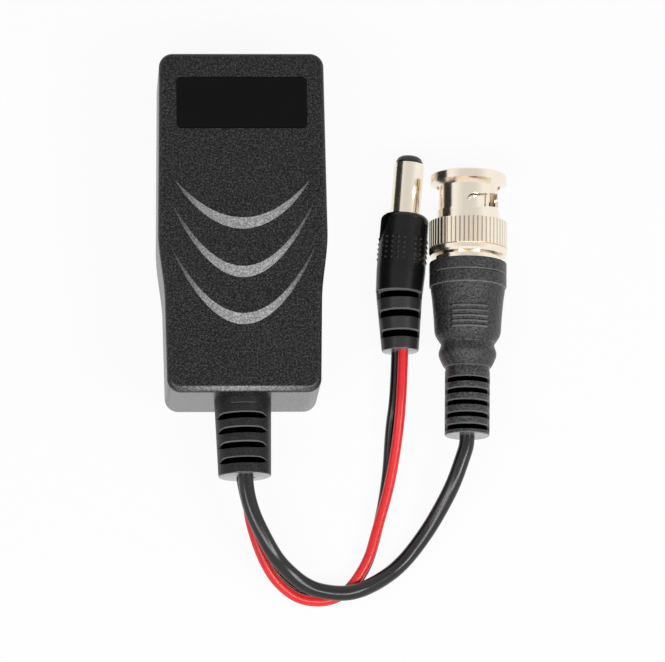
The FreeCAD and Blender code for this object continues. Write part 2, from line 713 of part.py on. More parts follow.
def make_strain_relief():
    """The outer part leans a little to one side; the neck and the flange hold it in the end wall."""
    wall_out, wall_in = -LENGTH / 2, -LENGTH / 2 + WALL
    outer = turned([
        (RELIEF_END_Y, 0), (RELIEF_END_Y, RELIEF_END_RADIUS), (wall_out, RELIEF_BASE_RADIUS), (wall_out, 0),
    ])
    grooves = [wall_out - at for at in RELIEF_GROOVES]
    outer = grooved(outer, grooves, RELIEF_GROOVE_WIDTH,
                    lambda at: RELIEF_CORE_RADIUS, RELIEF_BASE_RADIUS + 1, RELIEF_WEB)
    outer.rotate(V(0, wall_out, 0), AXIS_Z, RELIEF_LEAN)
    outer = outer.cut(block(-RELIEF_BASE_RADIUS - 1, RELIEF_BASE_RADIUS + 1, wall_out, wall_in,
                            -RELIEF_BASE_RADIUS - 1, RELIEF_BASE_RADIUS + 1))
    held = turned([
        (wall_out - RELIEF_OVERLAP, 0), (wall_out - RELIEF_OVERLAP, RELIEF_NECK_RADIUS),
        (wall_in + SEAT_GAP, RELIEF_NECK_RADIUS), (wall_in + SEAT_GAP, RELIEF_FLANGE_RADIUS),
        (wall_in + SEAT_GAP + RELIEF_FLANGE, RELIEF_FLANGE_RADIUS), (wall_in + SEAT_GAP + RELIEF_FLANGE, 0),
    ])
    body = joined([outer, held])
    body.translate(V(0, 0, RELIEF_Z))
    bores = []
    for (x, z), radius in ((COAX_EXIT, COAX_RADIUS), (RED_EXIT, WIRE_RADIUS), (BLACK_EXIT, WIRE_RADIUS)):
        bores.append(rod(radius + BORE_GAP, (x, RELIEF_END_Y - 1, z), (x, wall_in + RELIEF_FLANGE + 1, z)))
    return body.cut(bores)


def make_tail(exit_place, radius, name, sag):
    """A lead's inner end: through the strain relief, down to the board, its bare wire into a hole."""
    x, z = exit_place
    (hole_x, hole_y), = lead_places()[name]
    free = -LENGTH / 2 + WALL + RELIEF_FLANGE
    low = BOARD_TOP + radius + TAIL_CLEARANCE
    stop = hole_y - STRIP_LENGTH
    bend = free + TAIL_STRAIGHT
    side = x + (hole_x - x) * TAIL_SIDE_SHARE
    jacket = [(x, RELIEF_END_Y, z), (x, bend, z), (side, bend + sag, low), (hole_x, stop, low)]
    bare = [
        (hole_x, stop - STRIP_OVERLAP, low), (hole_x, hole_y, low),
        (hole_x, hole_y, BOARD_BOTTOM - LEAD_TAIL),
    ]
    wire = tube(bare, CORE_WIRE_RADIUS, 2 * CORE_WIRE_RADIUS)[0]
    return tube(jacket, radius)[0].fuse(wire).removeSplitter()


def lean_dc(shape):
    """Set a piece that was made along Y from the origin into the leaning grip of the DC plug."""
    shape = shape.copy()
    shape.rotate(V(0, 0, 0), AXIS_Z, -DC_LEAN)
    shape.translate(V(DC_X, DC_PIVOT_Y, DC_Z))
    return shape


def make_dc_plug_moulding():
    relief_length = DC_PIVOT_Y - DC_END_Y
    taper = (DC_RELIEF_BASE_RADIUS - DC_RELIEF_END_RADIUS) / relief_length

    def relief_radius(at):
        return DC_RELIEF_END_RADIUS + at * taper

    relief = turned([
        (0, 0), (0, relief_radius(0) - DC_RELIEF_EDGE), (DC_RELIEF_EDGE, relief_radius(DC_RELIEF_EDGE)),
        (relief_length, relief_radius(relief_length)), (relief_length, 0),
    ])
    relief = grooved(relief, DC_GROOVES, DC_GROOVE_WIDTH,
                     lambda at: relief_radius(at) - DC_GROOVE_DEPTH, DC_GRIP_RADIUS + 1, DC_WEB)
    relief.translate(V(DC_X, DC_END_Y, DC_Z))
    corner = [(DC_GRIP_LENGTH - back, radius) for back, radius in DC_GRIP_CORNER]
    grip = turned([
        (-DC_GRIP_OVERLAP, 0), (-DC_GRIP_OVERLAP, DC_GRIP_REAR_RADIUS), (DC_GRIP_REAR, DC_GRIP_RADIUS),
        *corner, (DC_GRIP_LENGTH, 0),
    ])
    return joined([relief, lean_dc(grip)]).cut(lean_dc(dc_seat()))


def dc_seat():
    """The room in the grip for the barrel's root."""
    start = DC_GRIP_LENGTH - DC_ROOT_LENGTH
    return ring(start, DC_GRIP_LENGTH + 1, 0, DC_ROOT_RADIUS + BORE_GAP)


def make_dc_barrel():
    """A thin tube that is narrower where the grip holds it."""
    start = DC_GRIP_LENGTH - DC_ROOT_LENGTH + BORE_GAP
    shoulder = DC_GRIP_LENGTH + BORE_GAP
    end = DC_GRIP_LENGTH + DC_BARREL_LENGTH
    inner, root_inner = DC_BARREL_RADIUS - DC_BARREL_WALL, DC_ROOT_RADIUS - DC_BARREL_WALL
    return lean_dc(turned([
        (start, root_inner), (start, DC_ROOT_RADIUS), (shoulder, DC_ROOT_RADIUS),
        (shoulder, DC_BARREL_RADIUS), (end, DC_BARREL_RADIUS), (end, inner),
        (shoulder + DC_BARREL_WALL, inner), (shoulder + DC_BARREL_WALL, root_inner),
    ]))


def make_dc_tip_insulator():
    """The black sleeve inside the barrel, with the domed ring that shows at its end."""
    start = DC_GRIP_LENGTH - DC_ROOT_LENGTH + BORE_GAP
    face = DC_GRIP_LENGTH + DC_BARREL_LENGTH + BORE_GAP
    step = DC_GRIP_LENGTH + DC_BARREL_WALL + 2 * BORE_GAP
    outer = DC_BARREL_RADIUS - DC_BARREL_WALL - BORE_GAP
    root = DC_ROOT_RADIUS - DC_BARREL_WALL - BORE_GAP
    inner = DC_BORE_RADIUS + DC_CONTACT_WALL + BORE_GAP
    dome = [(face + share * (DC_TIP_LENGTH - BORE_GAP), radius) for share, radius in DC_TIP_DOME]
    return lean_dc(turned([
        (start, inner), (start, root), (step, root), (step, outer), (face, outer), *dome,
        (face + DC_TIP_LENGTH - BORE_GAP, inner),
    ]))


def make_dc_inner_contact():
    """The tube that receives the 2.1 mm pin, closed behind its bore."""
    start = DC_GRIP_LENGTH - DC_ROOT_LENGTH + BORE_GAP
    mouth = DC_GRIP_LENGTH + DC_BARREL_LENGTH + DC_TIP_LENGTH - DC_CONTACT_SETBACK
    outer = DC_BORE_RADIUS + DC_CONTACT_WALL
    bottom = mouth - DC_BORE_DEPTH
    piece = turned([
        (start, 0), (start, outer), (mouth, outer), (mouth, DC_BORE_RADIUS),
        (bottom, DC_BORE_RADIUS), (bottom, 0),
    ])
    return lean_dc(piece)


def lean_bnc(shape):
    """Set a piece that was made along Y from the origin onto the bayonet plug's axis."""
    shape = shape.copy()
    shape.rotate(V(0, 0, 0), AXIS_Z, -BNC_LEAN)
    shape.translate(V(BNC_X, BNC_END_Y, BNC_Z))
    return shape


def boot_radius(at):
    """The boot's radius where its swelling runs straight from one point of the profile to the next."""
    for (s0, r0), (s1, r1) in zip(BOOT_PROFILE, BOOT_PROFILE[1:]):
        if s0 <= at <= s1:
            return r0 + (r1 - r0) * (at - s0) / (s1 - s0)
    return BOOT_RADIUS


def boot_ribs():
    """Low finger ribs across the upper and the lower side of the boot's swelling."""
    reach, span, half = BOOT_RADIUS + 1, BOOT_RIB_HALF_SPAN, BOOT_RIB_WIDTH / 2
    ribs = []
    for i in range(BOOT_RIBS):
        at = BOOT_RIB_FIRST + i * BOOT_RIB_PITCH
        radius = boot_radius(at)
        root, top = radius - BOOT_RIB_HEIGHT, radius + BOOT_RIB_HEIGHT
        rib = turned([
            (at - half, root), (at - half, radius), (at - half / 2, top),
            (at + half / 2, top), (at + half, radius), (at + half, root),
        ])
        for low, high in ((0, reach), (-reach, 0)):
            ribs.append(rib.common(block(-span, span, at - 1, at + 1, low, high)))
    return ribs


def make_bnc_boot():
    """The moulded boot: a ribbed tail, a collar, a swelling body and a plain front band."""
    body = turned([
        (0, 0), (0, BOOT_TAIL_RADIUS - BOOT_TAIL_EDGE), (BOOT_TAIL_EDGE, BOOT_TAIL_RADIUS), *BOOT_PROFILE,
        (BOOT_LINE - BOOT_LINE_WIDTH / 2, BOOT_RADIUS), (BOOT_LINE, BOOT_RADIUS - BOOT_LINE_DEPTH),
        (BOOT_LINE + BOOT_LINE_WIDTH / 2, BOOT_RADIUS), (BOOT_FRONT - BOOT_FRONT_EDGE, BOOT_RADIUS),
        (BOOT_FRONT, BOOT_RADIUS - BOOT_FRONT_EDGE), (BOOT_FRONT, 0),
    ])
    body = grooved(body, BOOT_GROOVES, BOOT_GROOVE_WIDTH,
                   lambda at: BOOT_CORE_RADIUS, BOOT_TAIL_RADIUS + 1, BOOT_WEB, BOOT_SPINE)
    body = body.fuse(boot_ribs())
    hollow = [
        ring(-1, BOOT_FRONT + 1, 0, COAX_RADIUS + BORE_GAP),
        ring(FERRULE_REAR - BORE_GAP, BOOT_FRONT + 1, 0, FERRULE_RADIUS + BORE_GAP),
        ring(SHANK_REAR - BORE_GAP, BOOT_FRONT + 1, 0, SHANK_RADIUS + BORE_GAP),
    ]
    return lean_bnc(body.cut(hollow))


def make_bnc_cable_tail():
    return lean_bnc(ring(0, FERRULE_REAR + FERRULE_LENGTH, 0, COAX_RADIUS))


def make_bnc_ferrule():
    return lean_bnc(ring(
        FERRULE_REAR, FERRULE_REAR + FERRULE_LENGTH, COAX_RADIUS + BORE_GAP, FERRULE_RADIUS))


def make_bnc_body():
    """Shank, flange, journal for the sleeve, and the slotted outer contact, bored for the insulator."""
    flange_front = BODY_FLANGE_REAR + BODY_FLANGE
    ring_front = RING_REAR + RING_WIDTH + 2 * BORE_GAP
    bottom = INSULATOR_REAR - BORE_GAP
    bore = CONTACT_RADIUS - CONTACT_WALL
    throat = PIN_SHANK_RADIUS + THROAT_GAP
    cable, seat = COAX_RADIUS + BORE_GAP, SHANK_REAR + CABLE_SEAT
    body = turned([
        (SHANK_REAR, cable), (SHANK_REAR, SHANK_RADIUS), (BODY_FLANGE_REAR, SHANK_RADIUS),
        (BODY_FLANGE_REAR, BODY_FLANGE_RADIUS), (flange_front, BODY_FLANGE_RADIUS),
        (flange_front, JOURNAL_RADIUS), (RING_REAR, JOURNAL_RADIUS), (RING_REAR, RING_GROOVE_RADIUS),
        (ring_front, RING_GROOVE_RADIUS), (ring_front, JOURNAL_RADIUS), (JOURNAL_END, JOURNAL_RADIUS),
        (JOURNAL_END, CONTACT_NECK_RADIUS), (CONTACT_START, CONTACT_NECK_RADIUS),
        (CONTACT_START, CONTACT_RADIUS), (CONTACT_END - CONTACT_POINT, CONTACT_RADIUS),
        (CONTACT_END, CONTACT_RADIUS - CONTACT_POINT / 2), (CONTACT_END, bore), (BORE_STEP, bore),
        (BORE_STEP, REAR_BORE_RADIUS), (bottom, REAR_BORE_RADIUS), (bottom, throat),
        (seat, throat), (seat, cable),
    ])
    reach, half = CONTACT_RADIUS + 1, CONTACT_SLOT_WIDTH / 2
    slots = []
    for i in range(CONTACT_SLOTS // 2):
        slot = block(-reach, reach, CONTACT_END - CONTACT_SLOT_LENGTH, CONTACT_END + 1, -half, half)
        slot.rotate(V(0, 0, 0), AXIS_Y, 45 + 90 * i)
        slots.append(slot)
    return lean_bnc(body.cut(slots))


def make_bnc_insulator():
    """Fills the body round the pin, with a round mouth at the front for the mating socket's nose."""
    rear_radius = REAR_BORE_RADIUS - BORE_GAP
    piece = turned([
        (INSULATOR_REAR, PIN_SHANK_RADIUS + BORE_GAP), (INSULATOR_REAR, rear_radius),
        (BORE_STEP + BORE_GAP, rear_radius), (BORE_STEP + BORE_GAP, INSULATOR_RADIUS),
        (INSULATOR_FRONT, INSULATOR_RADIUS), (INSULATOR_FRONT, MOUTH_RADIUS),
        (MOUTH_FLOOR, MOUTH_RADIUS), (MOUTH_FLOOR, PIN_SHANK_RADIUS + BORE_GAP),
    ])
    return lean_bnc(piece)


def make_bnc_centre_pin():
    return lean_bnc(turned([
        (PIN_REAR, 0), (PIN_REAR, PIN_SHANK_RADIUS), (PIN_STEP, PIN_SHANK_RADIUS), (PIN_STEP, PIN_RADIUS),
        (PIN_FRONT - PIN_POINT, PIN_RADIUS), (PIN_FRONT, PIN_RADIUS * PIN_POINT_SHARE), (PIN_FRONT, 0),
    ]))


def make_bnc_gasket():
    return lean_bnc(ring(
        JOURNAL_END + BORE_GAP, JOURNAL_END + GASKET_LENGTH, CONTACT_NECK_RADIUS + BORE_GAP, GASKET_RADIUS))


def make_bnc_slip_washer():
    return lean_bnc(ring(
        SLIP_WASHER_REAR, SLIP_WASHER_REAR + SLIP_WASHER,
        JOURNAL_RADIUS + JOURNAL_GAP, SLEEVE_CAVITY_RADIUS - 2 * JOURNAL_GAP))


def make_bnc_wave_washer():
    """A thin ring bent in waves, lofted round the axis between the slip washer and the ring."""
    low = SLIP_WASHER_REAR + SLIP_WASHER + WASHER_GAP
    high = RING_REAR - WASHER_GAP - WAVE_WASHER
    inner, outer = JOURNAL_RADIUS + 2 * JOURNAL_GAP, RING_RADIUS
    steps = 8 * WAVES
    rings = []
    for radius in (inner, outer):
        for lift in (0, WAVE_WASHER):
            points = []
            for i in range(steps):
                angle = 2 * math.pi * i / steps
                s = (low + high) / 2 + (high - low) / 2 * math.cos(WAVES * angle) + lift
                points.append(V(radius * math.cos(angle), s, radius * math.sin(angle)))
            curve = Part.BSplineCurve()
            curve.interpolate(Points=points, PeriodicFlag=True)
            rings.append(curve.toShape())
    inner_low, inner_high, outer_low, outer_high = rings
    faces = [
        Part.makeRuledSurface(inner_low, outer_low), Part.makeRuledSurface(outer_low, outer_high),
        Part.makeRuledSurface(outer_high, inner_high), Part.makeRuledSurface(inner_high, inner_low),
    ]
    solid = Part.Solid(Part.Shell(faces))
    if solid.Volume < 0:
        solid.reverse()
    return lean_bnc(solid)


def make_bnc_retaining_ring():
    """An open ring snapped into the journal's groove."""
    rear = RING_REAR + BORE_GAP
    piece = ring(rear, rear + RING_WIDTH, RING_GROOVE_RADIUS + BORE_GAP, RING_RADIUS)
    half = math.tan(math.radians(RING_OPENING / 2)) * 2 * RING_RADIUS
    wedge = Part.Face(polygon([(0, 0, 0), (half, 0, -2 * RING_RADIUS), (-half, 0, -2 * RING_RADIUS)]))
    wedge = wedge.extrude(V(0, RING_WIDTH + 2, 0))
    wedge.translate(V(0, rear - 1, 0))
    return lean_bnc(piece.cut(wedge))


def knurl_band():
    """A ring of fine straight teeth with flat tops and narrow grooves between them."""
    points = []
    pitch = 2 * math.pi / KNURLS
    for i in range(KNURLS):
        for share, radius in ((-KNURL_FLAT / 2, KNURL_RADIUS), (KNURL_FLAT / 2, KNURL_RADIUS),
                              (0.5, KNURL_RADIUS - KNURL_DEPTH)):
            angle = pitch * (i + share)
            points.append((radius * math.sin(angle), KNURL_REAR, radius * math.cos(angle)))
    band = Part.Face(polygon(points)).extrude(V(0, KNURL_FRONT - KNURL_REAR, 0))
    return band.cut(ring(KNURL_REAR - 1, KNURL_FRONT + 1, 0, SLEEVE_CAVITY_RADIUS + 0.3))


def around(angle):
    """The direction that stands at an angle round the Y axis, from upright towards +X."""
    return V(math.sin(math.radians(angle)), 0, math.cos(math.radians(angle)))


def bayonet_slot():
    """One slot through the barrel: a round seat, a slanting run and the way in from the front rim."""
    inner, outer = SLEEVE_BORE_RADIUS - 0.6, SLEEVE_BARREL_RADIUS + 0.6
    start = around(SLOT_ANGLE)
    half = SLOT_WIDTH / 2
    corners = [(inner, -half), (outer, -half), (outer, half), (inner, half)]
    section = Part.Face(polygon([tuple(start * r + AXIS_Y * s) for r, s in corners]))
    run = section.revolve(V(0, 0, 0), AXIS_Y, SLOT_SWEEP)
    run_length = SLEEVE_BARREL_RADIUS * math.radians(SLOT_SWEEP)
    slant = math.degrees(math.atan2(SLOT_ADVANCE, run_length))
    run.rotate(V(0, 0, 0), around(SLOT_ANGLE + SLOT_SWEEP / 2), slant)
    run.translate(V(0, DETENT_AT + SLOT_ADVANCE / 2, 0))
    seat = Part.makeCylinder(DETENT_RADIUS, outer - inner, start * inner + AXIS_Y * DETENT_AT, start)
    entry = block(-half, half, DETENT_AT + SLOT_ADVANCE, SLEEVE_FRONT + 1,
                  inner, SLEEVE_BARREL_RADIUS + ENTRY_DEPTH)
    entry.rotate(V(0, 0, 0), AXIS_Y, SLOT_ANGLE + SLOT_SWEEP)
    return [run, seat, entry]


def make_bnc_coupling():
    lip_front = SLEEVE_REAR + SLEEVE_LIP
    rim_rear = SLEEVE_FRONT - RIM_LENGTH - RIM_CHAMFER
    groove_floor = KNURL_RADIUS - KNURL_DEPTH
    sleeve = turned([
        (SLEEVE_REAR, JOURNAL_RADIUS + JOURNAL_GAP), (SLEEVE_REAR, SLEEVE_REAR_RADIUS),
        (SLEEVE_REAR + 0.4, KNURL_RADIUS), (KNURL_REAR - 0.2, KNURL_RADIUS), (KNURL_REAR, groove_floor),
        (KNURL_FRONT, groove_floor), (KNURL_FRONT, SLEEVE_COLLAR_RADIUS),
        (SLEEVE_COLLAR_END, SLEEVE_COLLAR_RADIUS), (SLEEVE_COLLAR_END, SLEEVE_BARREL_RADIUS),
        (rim_rear, SLEEVE_BARREL_RADIUS), (rim_rear + RIM_CHAMFER, RIM_RADIUS),
        (SLEEVE_FRONT - 0.25, RIM_RADIUS), (SLEEVE_FRONT, RIM_RADIUS - 0.25),
        (SLEEVE_FRONT, SLEEVE_BORE_RADIUS), (SLEEVE_CAVITY_END, SLEEVE_BORE_RADIUS),
        (SLEEVE_CAVITY_END, SLEEVE_CAVITY_RADIUS), (lip_front, SLEEVE_CAVITY_RADIUS),
        (lip_front, JOURNAL_RADIUS + JOURNAL_GAP),
    ])
    sleeve = sleeve.fuse(knurl_band())
    for cutter in bayonet_slot():
        opposite = cutter.copy()
        opposite.rotate(V(0, 0, 0), AXIS_Y, 180)
        sleeve = sleeve.cut([cutter, opposite])
    return lean_bnc(sleeve)


def bnc_point(along):
    lean = math.radians(BNC_LEAN)
    return (BNC_X + along * math.sin(lean), BNC_END_Y + along * math.cos(lean), BNC_Z)


# Routes of the free leads, chosen by eye
COAX_ROUTE = [
    (COAX_EXIT[0], RELIEF_END_Y, COAX_EXIT[1]),
    (COAX_EXIT[0], -50.0, COAX_EXIT[1]),
    (5.0, -59.0, 10.2),
    (7.5, -62.05, 7.6),
    (11.7, -65.0, 6.0),
    (16.3, -66.25, 5.4),
    (20.15, -66.15, 5.3),
    (24.6, -63.9, 3.6),
    (29.1, -60.3, 2.0),
    (33.55, -54.65, 3.0),
    (36.5, -49.8, 4.6),
    (38.6, -45.75, 6.2),
    (40.25, -41.1, 7.1),
    bnc_point(-1.5),
    bnc_point(0),
]
RED_ROUTE = [
    (RED_EXIT[0], RELIEF_END_Y, RED_EXIT[1]),
    (RED_EXIT[0], -50.0, RED_EXIT[1]),
    (4.1, -61.2, 3.6),
    (9.0, -66.25, 1.3),
    (14.3, -67.65, 2.2),
    (18.6, -65.9, 2.7),
    (22.9, -59.9, 2.7),
    (24.7, -53.95, 2.65),
    (27.1, -46.1, 2.55),
    (28.7, -37.15, 3.4),
    (DC_X + RED_ENTRY[0], -29.0, DC_Z + RED_ENTRY[1]),
    (DC_X + RED_ENTRY[0], DC_END_Y, DC_Z + RED_ENTRY[1]),
]
BLACK_ROUTE = [
    (BLACK_EXIT[0], RELIEF_END_Y, BLACK_EXIT[1]),
    (BLACK_EXIT[0], -50.0, BLACK_EXIT[1]),
    (5.4, -57.6, 3.3),
    (10.2, -64.3, 0.95),
    (14.4, -65.9, 0.85),
    (18.7, -65.3, 0.85),
    (22.0, -61.8, 0.85),
    (24.4, -55.4, 0.85),
    (26.5, -44.5, 0.85),
    (27.2, -35.0, 1.9),
    (DC_X + BLACK_ENTRY[0], -29.5, DC_Z + BLACK_ENTRY[1]),
    (DC_X + BLACK_ENTRY[0], DC_END_Y, DC_Z + BLACK_ENTRY[1]),
]


def make_all():
    places = {
        "top_shell": make_top_shell,
        "back_cover": make_back_cover,
        "label_plate": make_label_plate,
        "jack_housing": make_jack_housing,
        "jack_contacts": make_jack_contacts,
        "circuit_board": make_circuit_board,
        "toroid_core": make_toroid_core,
        "first_winding": lambda: make_winding("first_winding", 1),
        "second_winding": lambda: make_winding("second_winding", -1),
        "surge_suppressor": make_surge_suppressor,
        "capacitor": lambda: make_disc("capacitor", CAPACITOR_Y),
        "resettable_fuse": lambda: make_disc("fuse", FUSE_Y),
        "strain_relief": make_strain_relief,
        "coax_tail": lambda: make_tail(COAX_EXIT, COAX_RADIUS, "coax", COAX_SAG),
        "red_tail": lambda: make_tail(RED_EXIT, WIRE_RADIUS, "red", WIRE_SAG),
        "black_tail": lambda: make_tail(BLACK_EXIT, WIRE_RADIUS, "black", WIRE_SAG),
        "coax_cable": lambda: cord("coax_cable", COAX_ROUTE, COAX_RADIUS),
        "dc_wire_red": lambda: cord("dc_wire_red", RED_ROUTE, WIRE_RADIUS),
        "dc_wire_black": lambda: cord("dc_wire_black", BLACK_ROUTE, WIRE_RADIUS),
        "dc_plug_moulding": make_dc_plug_moulding,
        "dc_barrel": make_dc_barrel,
        "dc_tip_insulator": make_dc_tip_insulator,
        "dc_inner_contact": make_dc_inner_contact,
        "bnc_boot": make_bnc_boot,
        "bnc_cable_tail": make_bnc_cable_tail,
        "bnc_ferrule": make_bnc_ferrule,
        "bnc_body": make_bnc_body,
        "bnc_insulator": make_bnc_insulator,
        "bnc_centre_pin": make_bnc_centre_pin,
        "bnc_gasket": make_bnc_gasket,
        "bnc_slip_washer": make_bnc_slip_washer,
        "bnc_wave_washer": make_bnc_wave_washer,
        "bnc_retaining_ring": make_bnc_retaining_ring,
        "bnc_coupling": make_bnc_coupling,
    }
    os.makedirs("parts", exist_ok=True)
    for name, make in places.items():
        shape = make()
        shape.exportStep(f"parts/{name}.step")
        solids = len(shape.Solids)
        print(f"{name}: {solids} solid(s), volume {shape.Volume:.1f}, valid {shape.isValid()}")


make_all()
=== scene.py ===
"""The looks of a video balun: a black case with two plugs on short leads."""

import math

import bmesh
import bpy
from mathutils import Matrix, Vector


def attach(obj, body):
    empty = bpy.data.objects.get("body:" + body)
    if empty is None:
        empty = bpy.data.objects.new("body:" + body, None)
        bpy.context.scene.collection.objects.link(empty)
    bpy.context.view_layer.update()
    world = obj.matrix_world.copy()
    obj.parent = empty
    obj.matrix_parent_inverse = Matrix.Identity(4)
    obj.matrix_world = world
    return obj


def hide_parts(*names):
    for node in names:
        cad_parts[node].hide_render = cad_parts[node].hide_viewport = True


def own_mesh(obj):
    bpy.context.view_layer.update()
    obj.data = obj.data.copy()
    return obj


bl_info = {
    "name": "Video balun",
    "version": (1, 0, 0),
    "blender": (4, 5, 0),
    "location": "3D View > Sidebar > Balun",
    "description": "Builds the visible pieces of a video balun round its solid frame",
    "category": "Object",
}

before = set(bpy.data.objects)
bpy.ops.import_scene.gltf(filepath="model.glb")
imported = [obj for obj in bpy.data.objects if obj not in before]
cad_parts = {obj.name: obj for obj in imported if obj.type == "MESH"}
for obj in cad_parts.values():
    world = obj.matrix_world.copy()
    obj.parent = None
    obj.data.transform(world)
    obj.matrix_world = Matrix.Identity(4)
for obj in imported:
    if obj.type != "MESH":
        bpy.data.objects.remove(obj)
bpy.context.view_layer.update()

MM = 0.001
HOUSING = "balun"

# The photograph's view: where the camera looks, and the way back to it
VIEW_TARGET = Vector((17.081, -16.279, 0.0)) * MM
VIEW_BACK = Vector((-0.05468, -0.20541, 0.97715))
VIEW_UP = Vector((0.001954, 0.978588, 0.205821))

# The key light: an arc of soft lamps on the near side, seen from the balun
KEY_ARC = (
    (-0.58, -0.26, 0.77), (-0.32, -0.42, 0.85), (0.03, -0.46, 0.89),
    (0.37, -0.42, 0.83), (0.6, -0.26, 0.75))
KEY_REACH = 0.6
KEY_SIZE = (0.25, 0.12)
KEY_SHARES = (0.15, 0.18, 0.2, 0.22, 0.25)

# The floor: a wide plane just under the balun, nearly white to the rays that show it
FLOOR_SIZE = 8.0
FLOOR_DROP = 0.04 * MM
FLOOR_PAPER = (0.82, 0.82, 0.82, 1.0)
FLOOR_GLOW = 0.93
WHITE = (1.0, 1.0, 1.0, 1.0)

# Leads: the steps of a curve's span and the fineness of its round section
LEAD_STEPS = 16
LEAD_SIDES = 7

# Lathed mouldings: the cable end's fillet, where their fine steps start, a groove's wall, the half
# width from which a groove's chamfer is full, and the angle above which an edge is sharp
END_FILLET = 0.2 * MM
END_STEPS = 5
LATHE_START = 0.25 * MM
GROOVE_WALL = 0.1 * MM
FULL_LIP_HALF = 0.3 * MM
SHARP_EDGE = math.radians(30)

# Colours of the pieces that aren't set by the user
GOLD = (0.83, 0.6, 0.24)
COPPER = (0.62, 0.2, 0.08)
STEEL = (0.55, 0.55, 0.56)
# Painted: shade in the knurl's grooves, a highlight on slopes that face the leads, and shade deep
# in grooves
KNURL_GROOVE_SHADE = (0.56, 0.49, 0.4)
PAINTED_EDGE_HIGHLIGHT = (0.15, 0.15, 0.155)
DEEP_SHADE = (0.0005, 0.0005, 0.0005)

# Slopes that face the leads, as cosines: where the case's ridges get a painted highlight, where
# its end wall gets a coat, and where a groove's edge gets a painted highlight
RIDGE_HIGHLIGHT_SLOPES = ((0.1, 0.0), (0.25, 1.0), (0.72, 1.0), (0.9, 0.0))
WALL_SLOPES = ((0.6, 0.0), (0.9, 1.0))
EDGE_HIGHLIGHT_SLOPE = 0.62

# How far from the middle the painted highlight on the case's ridges fades out
RIDGE_HIGHLIGHT_REACH = 13.5 * MM

# Strain relief of the case, measured from its cable end; its outer part leans to one side
RELIEF_END = Vector((0.0, -45.35, 10.0)) * MM
RELIEF_LENGTH = 13.85 * MM
RELIEF_LEAN = math.radians(1.0)
RELIEF_RADIUS = 4.8 * MM
RELIEF_CORE = 3.5 * MM
RELIEF_SLOTS = [at * MM for at in (2.35, 5.15, 7.85, 10.55)]
RELIEF_SLOT_HALF = 0.52 * MM
RELIEF_SLOT_START = 1.9 * MM
RELIEF_SLOT_RUN = 2.0 * MM
RELIEF_SLOT_TURN = math.radians(8)
RELIEF_LINE = 12.75 * MM
RELIEF_LINE_DEPTH = 0.2 * MM
# Its neck and flange in the case's wall, as (way past the outer part, radius)
RELIEF_NECK = ((0.0, 5.18), (0.01, 4.3), (1.84, 4.3), (1.85, 5.7), (3.45, 5.7))

# Power plug: its own strain relief lies along Y, and the grip leans from there on
DC_END = Vector((29.2, -21.15, 4.6)) * MM
DC_RELIEF = 11.0 * MM
DC_RELIEF_RADIUS = 3.4 * MM
DC_LEAN = math.radians(5.25)
DC_BEND = 1.2 * MM
DC_GROOVES = [at * MM for at in (2.9, 6.6, 10.2)]
DC_WEB_RADIUS = 4.0 * MM
# The grip, as (way past its strain relief, radius), with the part of it that is cut finely
DC_GRIP = (
    (-0.05, 4.27), (0.05, 4.32), (4.0, 4.5), (13.5, 4.4), (13.9, 4.3), (14.2, 4.1),
    (14.4, 3.85), (14.55, 3.7))
DC_FINE = 12.9 * MM
DC_DOT = 0.26 * MM
DC_DOT_REACH = 0.3 * MM
DC_DOT_ROWS = [at * MM for at in (5.95, 6.95, 7.85, 8.8, 9.8)]
DC_DOT_COLUMNS = [math.radians(panel + column) for panel in (-30, 60, 150, 240)
                  for column in (-30, -15, 0, 15, 30) if panel + column != 180]

# Bayonet plug, measured from the boot's cable end
BNC_END = Vector((41.0, -37.45, 7.22)) * MM
BNC_LEAN = math.radians(1.35)
BOOT_TAIL = 11.7 * MM
BOOT_FINE = 32.0 * MM
BOOT_SLOTS = [at * MM for at in (1.2, 3.45, 5.7, 7.9, 10.05)]
BOOT_SLOT_HALF = 0.45 * MM
BOOT_SLOT_DEPTH = 1.75 * MM
BOOT_CORE = 3.85 * MM
BOOT_SPINE_HALF = 0.45 * MM
BOOT_SPINE_DEPTH = 0.35 * MM
BOOT_RIBS = [at * MM for at in (19.5, 20.45, 21.4, 22.35, 23.3)]
BOOT_RIB_HEIGHT = 0.3 * MM
# The sleeve's knurl: the middle and half of its grooves' span, along the axis and away from it
KNURL_SPAN = (37.35 * MM, 2.4 * MM)
KNURL_FLOOR = (7.0 * MM, 0.1 * MM)
# The boot, as (station, radius)
BOOT_PROFILE = [(s * MM, r * MM) for s, r in (
    (0.02, 3.92), (0.08, 4.02), (0.2, 4.1), (11.7, 4.12), (12.1, 4.06), (12.45, 4.01),
    (12.62, 4.03), (12.72, 4.25), (13.25, 4.6), (13.8, 4.87), (14.4, 5.11), (14.8, 5.25),
    (15.2, 5.3), (15.6, 5.26), (16.1, 5.1), (16.6, 4.93), (16.95, 4.88), (17.15, 4.93),
    (17.4, 5.12), (18.0, 5.52), (18.6, 5.87), (19.2, 6.06), (19.8, 6.12), (21.7, 6.23),
    (23.6, 6.39), (25.5, 6.58), (27.0, 6.8), (27.5, 6.86), (27.72, 7.06), (27.85, 7.1),
    (29.72, 7.1), (29.82, 7.0), (29.9, 6.95), (29.95, 6.96), (30.12, 7.1), (32.05, 7.1),
    (32.2, 7.05), (32.28, 6.9), (32.3, 6.6))]
